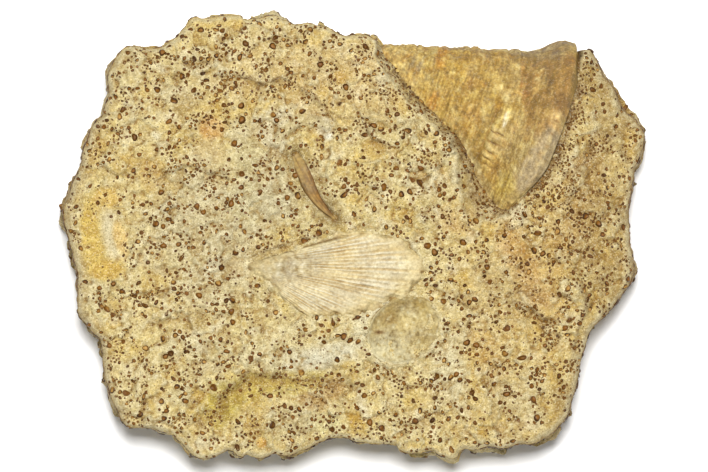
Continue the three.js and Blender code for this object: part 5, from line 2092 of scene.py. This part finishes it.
    def settle_face(self, grains: list[Grain]) -> None:
        """Sets each grain of the face at the stone's height and slope.

        Args:
            grains: The grains, changed in place.
        """
        x = np.array([g.at[0] for g in grains])
        y = np.array([g.at[1] for g in grains])
        step = 0.45
        heights = []
        for dx, dy in ((0, 0), (step, 0), (-step, 0), (0, step), (0, -step)):
            share = np.minimum(self.stone.share(x + dx, y + dy), 0.99)
            heights.append(self.stone.rolled(self.stone.surface(x + dx, y + dy)[0], share))
        middle = np.mean(heights, axis=0)
        slope = column(heights[2] - heights[1], heights[4] - heights[3], np.full_like(x, 2 * step))
        slope /= np.linalg.norm(slope, axis=1)[:, None]
        for k, grain in enumerate(grains):
            own = 0.5 + 0.5 * smooth(0.9, 0.6, slope[k, 2])
            grain.at = (x[k], y[k], (1 - own) * middle[k] + own * heights[0][k])
            leaning = slope[k] + (*self.random.normal(0, self.lean, 2), 1.2 * (1 - slope[k, 2]))
            grain.facing = tuple(leaning / np.linalg.norm(leaning))

    def scatter_flank(self, count: int = 1500) -> list[Grain]:
        """Spreads grains over the broken side.

        Args:
            count: How many are tried.

        Returns:
            The grains that fit.
        """
        theta = self.random.uniform(0, TURN, count)
        down = 0.93 * self.random.uniform(0.0, 1.0, count) ** 1.3
        places = self.stone.flank_places
        here = places(theta, down)
        round_it = places(theta + 0.006, down) - places(theta - 0.006, down)
        lower = places(theta, down + 0.012) - places(theta, down - 0.012)
        facing = np.cross(lower, round_it)
        length = np.linalg.norm(facing, axis=1)
        facing /= np.maximum(length, 1e-6)[:, None]
        radius, stretch, turn, tone = self._shape(count, 0.5, 0.34, 1.05)
        kinds = self._kinds(count)
        made = []
        for k in range(count):
            under_snail = 6 < here[k, 0] < 58 and here[k, 1] > 30 and here[k, 2] > 17
            if length[k] > 1e-4 and not under_snail and here[k, 2] > 1.2:
                at, out = tuple(here[k]), tuple(facing[k])
                made.append(Grain(at, radius[k], kinds[k], stretch[k], turn[k], tone[k], out))
        return made

    def scatter_underside(self, count: int = 420) -> list[Grain]:
        """Spreads flat, worn grains over the underside, none standing below it.

        Args:
            count: How many are tried.

        Returns:
            The grains that fit.
        """
        theta = self.random.uniform(0, TURN, count)
        share = np.sqrt(self.random.uniform(0.0, 0.66, count))
        reach = share * self.stone.edge(theta)
        flat = column(reach * np.cos(theta), reach * np.sin(theta), 0.0)
        hollow = self.stone.hollow(flat)
        radius, stretch, turn, tone = self._shape(count, 0.5, 0.3, 0.9)
        kind, down = GrainKind.BROKEN, (0.0, 0.0, -1.0)
        return [
            Grain((*flat[k, :2], hollow[k]), radius[k], kind, stretch[k], turn[k], tone[k], down)
            for k in np.flatnonzero(hollow > 0.45 * radius)
        ]

    def scatter_specks(self, count: int = 4600) -> list[Grain]:
        """Spreads the smallest dark specks of the upper face.

        Args:
            count: How many specks at most.

        Returns:
            The specks, still at height 0.
        """
        x, y = self._places(count * 5)
        thick = np.sqrt(self._crowding(x, y))
        draw = 2.4 * self.random.random(count * 5)
        keep = np.flatnonzero(self._free(x, y) & (draw < thick))[:count]
        radius, stretch, turn, tone = self._shape(len(keep), 0.17, 0.35, 0.36)
        radius = np.maximum(radius, self.least_speck)
        return [
            Grain((x[n], y[n], 0.0), radius[k], GrainKind.WHOLE, stretch[k], turn[k], tone[k])
            for k, n in enumerate(keep)
        ]

    def mould(self, name: str, grains: list[Grain], sides: int, skip: int = 0) -> bpy.types.Object:
        """Makes many grains as one piece.

        Args:
            name: Name of the piece.
            grains: The grains.
            sides: Corners of each ring.
            skip: How many inner rings to leave out, for small grains.

        Returns:
            The dressed piece.
        """
        angle = np.arange(sides) * TURN / sides
        points, colours, quads, tips = [], [], [], []
        start = 0
        skins, hearts = ([hue(code) for code in codes] for codes in (self.skins, self.hearts))
        for n, grain in enumerate(grains):
            up = Vector(grain.facing)
            ahead = up.orthogonal().normalized()
            ahead.rotate(Quaternion(up, grain.turn))
            own_axes = np.array([ahead, up.cross(ahead), up])
            rings = (grain.kind.rings[0], *grain.kind.rings[1 + skip :])
            wave = 1 + 0.11 * np.cos(2 * angle + grain.tone * 40) + 0.09 * np.cos(3 * angle + n)
            long = grain.stretch**0.5
            u, v = wave * np.cos(angle) * long, wave * np.sin(angle) / long
            open_side = grain.kind.broken * past(1.7 * np.cos(angle - 3 * grain.turn), 0.7)
            local, tones = [[(0.0, 0.0, rings[0][1])]], [[rings[0][2]]]
            for reach, height, tone in rings[1:]:
                local.append(column(reach * u, reach * v, height))
                tones.append(np.maximum(tone, open_side))
            points.append(np.concatenate(local) * grain.radius @ own_axes + np.array(grain.at))
            skin = skins[int(grain.tone * 97) % len(skins)]
            heart = hearts[int(grain.tone * 61) % len(hearts)]
            colours.append(skin + (heart - skin) * np.concatenate(tones)[:, None])
            first = start + 1 + np.arange(sides)
            tips.append(column(start, first, np.roll(first, -1)))
            for ring in range(len(rings) - 2):
                here = first + ring * sides
                quads.append(column(here, here + sides, np.roll(here, -1) + sides, np.roll(here, -1)))
            start += len(points[-1])
        faces = [np.concatenate(part) for part in (tips, quads) if part]
        piece = make_piece(name, np.concatenate(points), faces, np.concatenate(colours))
        piece.data.materials.append(self.material)
        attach(piece, "root")
        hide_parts("matrix")
        return piece


# ---- studio


@dataclass
class Studio:
    """Pale floor, a small lamp almost overhead, soft light all round, and the camera above."""

    frame_width: float = 177.0
    plane: float = 32.0
    distance: float = 2500.0
    sensor: float = 36.0
    centre: tuple = (0.0, 0.1)
    lamp_at: tuple = (0.0, 0.17, 1.5)
    lamp_size: float = 0.24
    lamp_power: float = 36.5
    sky: tuple = (0.95, 0.98, 1.0, 1)
    sky_strength: float = 0.27
    floor_half: float = 3.0

    def build(self) -> None:
        """Sets the stage."""
        self._floor()
        self._lamp()
        world = bpy.context.scene.world or bpy.data.worlds.new("studio")
        bpy.context.scene.world = world
        world.use_nodes = True
        back = world.node_tree.nodes["Background"]
        back.inputs["Color"].default_value = self.sky
        back.inputs["Strength"].default_value = self.sky_strength
        camera = bpy.data.cameras.new("camera")
        camera.sensor_width = self.sensor
        camera.lens = self.sensor * self.distance / self.frame_width
        camera.clip_start, camera.clip_end = 0.01, 20.0
        eye = bpy.data.objects.new("camera", camera)
        eye.location = (self.centre[0] * MM, self.centre[1] * MM, (self.plane + self.distance) * MM)
        bpy.context.scene.collection.objects.link(eye)
        bpy.context.scene.camera = eye
        bpy.context.scene.view_settings.view_transform = "Standard"

    def _floor(self) -> None:
        """A wide pale sheet under the block."""
        mesh = bpy.data.meshes.new("floor")
        w = self.floor_half
        mesh.from_pydata([(-w, -w, 0), (w, -w, 0), (w, w, 0), (-w, w, 0)], [], [(0, 1, 2, 3)])
        floor = bpy.data.objects.new("floor", mesh)
        bpy.context.scene.collection.objects.link(floor)
        material = bpy.data.materials.new("floor_paper")
        material.use_nodes = True
        shader = material.node_tree.nodes["Principled BSDF"]
        shader.inputs["Base Color"].default_value = (0.97, 0.97, 0.97, 1)
        shader.inputs["Roughness"].default_value = 0.9
        shader.inputs["Specular IOR Level"].default_value = 0.1
        mesh.materials.append(material)

    def _lamp(self) -> None:
        """A square lamp that looks at the block."""
        light = bpy.data.lights.new("key_lamp", "AREA")
        light.size, light.energy = self.lamp_size, self.lamp_power
        lamp = bpy.data.objects.new("key_lamp", light)
        lamp.location = self.lamp_at
        towards = Vector((0, 0, 0.03)) - Vector(self.lamp_at)
        lamp.rotation_euler = towards.to_track_quat("-Z", "Y").to_euler()
        bpy.context.scene.collection.objects.link(lamp)


# ---- all together


def main() -> None:
    """Builds the block, its fossils and its grains, and reports each piece."""
    logging.basicConfig(level=logging.INFO, format="%(name)s %(message)s")
    form = SnailForm()
    stone = Limestone(form)
    scattered = GrainField(stone)
    grains, specks = scattered.scatter_face(), scattered.scatter_specks()
    stone.grains = grains
    scattered.settle_face(grains)
    scattered.settle_face(specks)
    made = [*stone.build_face(), stone.build_flank(), SnailShell(form).build()]
    made += [kind(stone).build() for kind in (RibbedShell, OvalShell, CurvedShell)]
    large = [grain for grain in grains if grain.radius >= LARGE_GRAIN]
    small = [grain for grain in grains if grain.radius < LARGE_GRAIN]
    around = scattered.scatter_flank() + scattered.scatter_underside()
    # name, grains, corners of a ring, inner rings left out
    moulds = (
        ("grains_face", large, 10, 0),
        ("grains_small", small, 8, 1),
        ("specks_face", specks, 6, 2),
        ("grains_flank", around, 8, 1),
    )
    made += [scattered.mould(*mould) for mould in moulds]
    Studio().build()
    for piece in made:
        log.info("%s: %d faces", piece.name, len(piece.data.polygons))


if __name__ == "__main__":
    main()
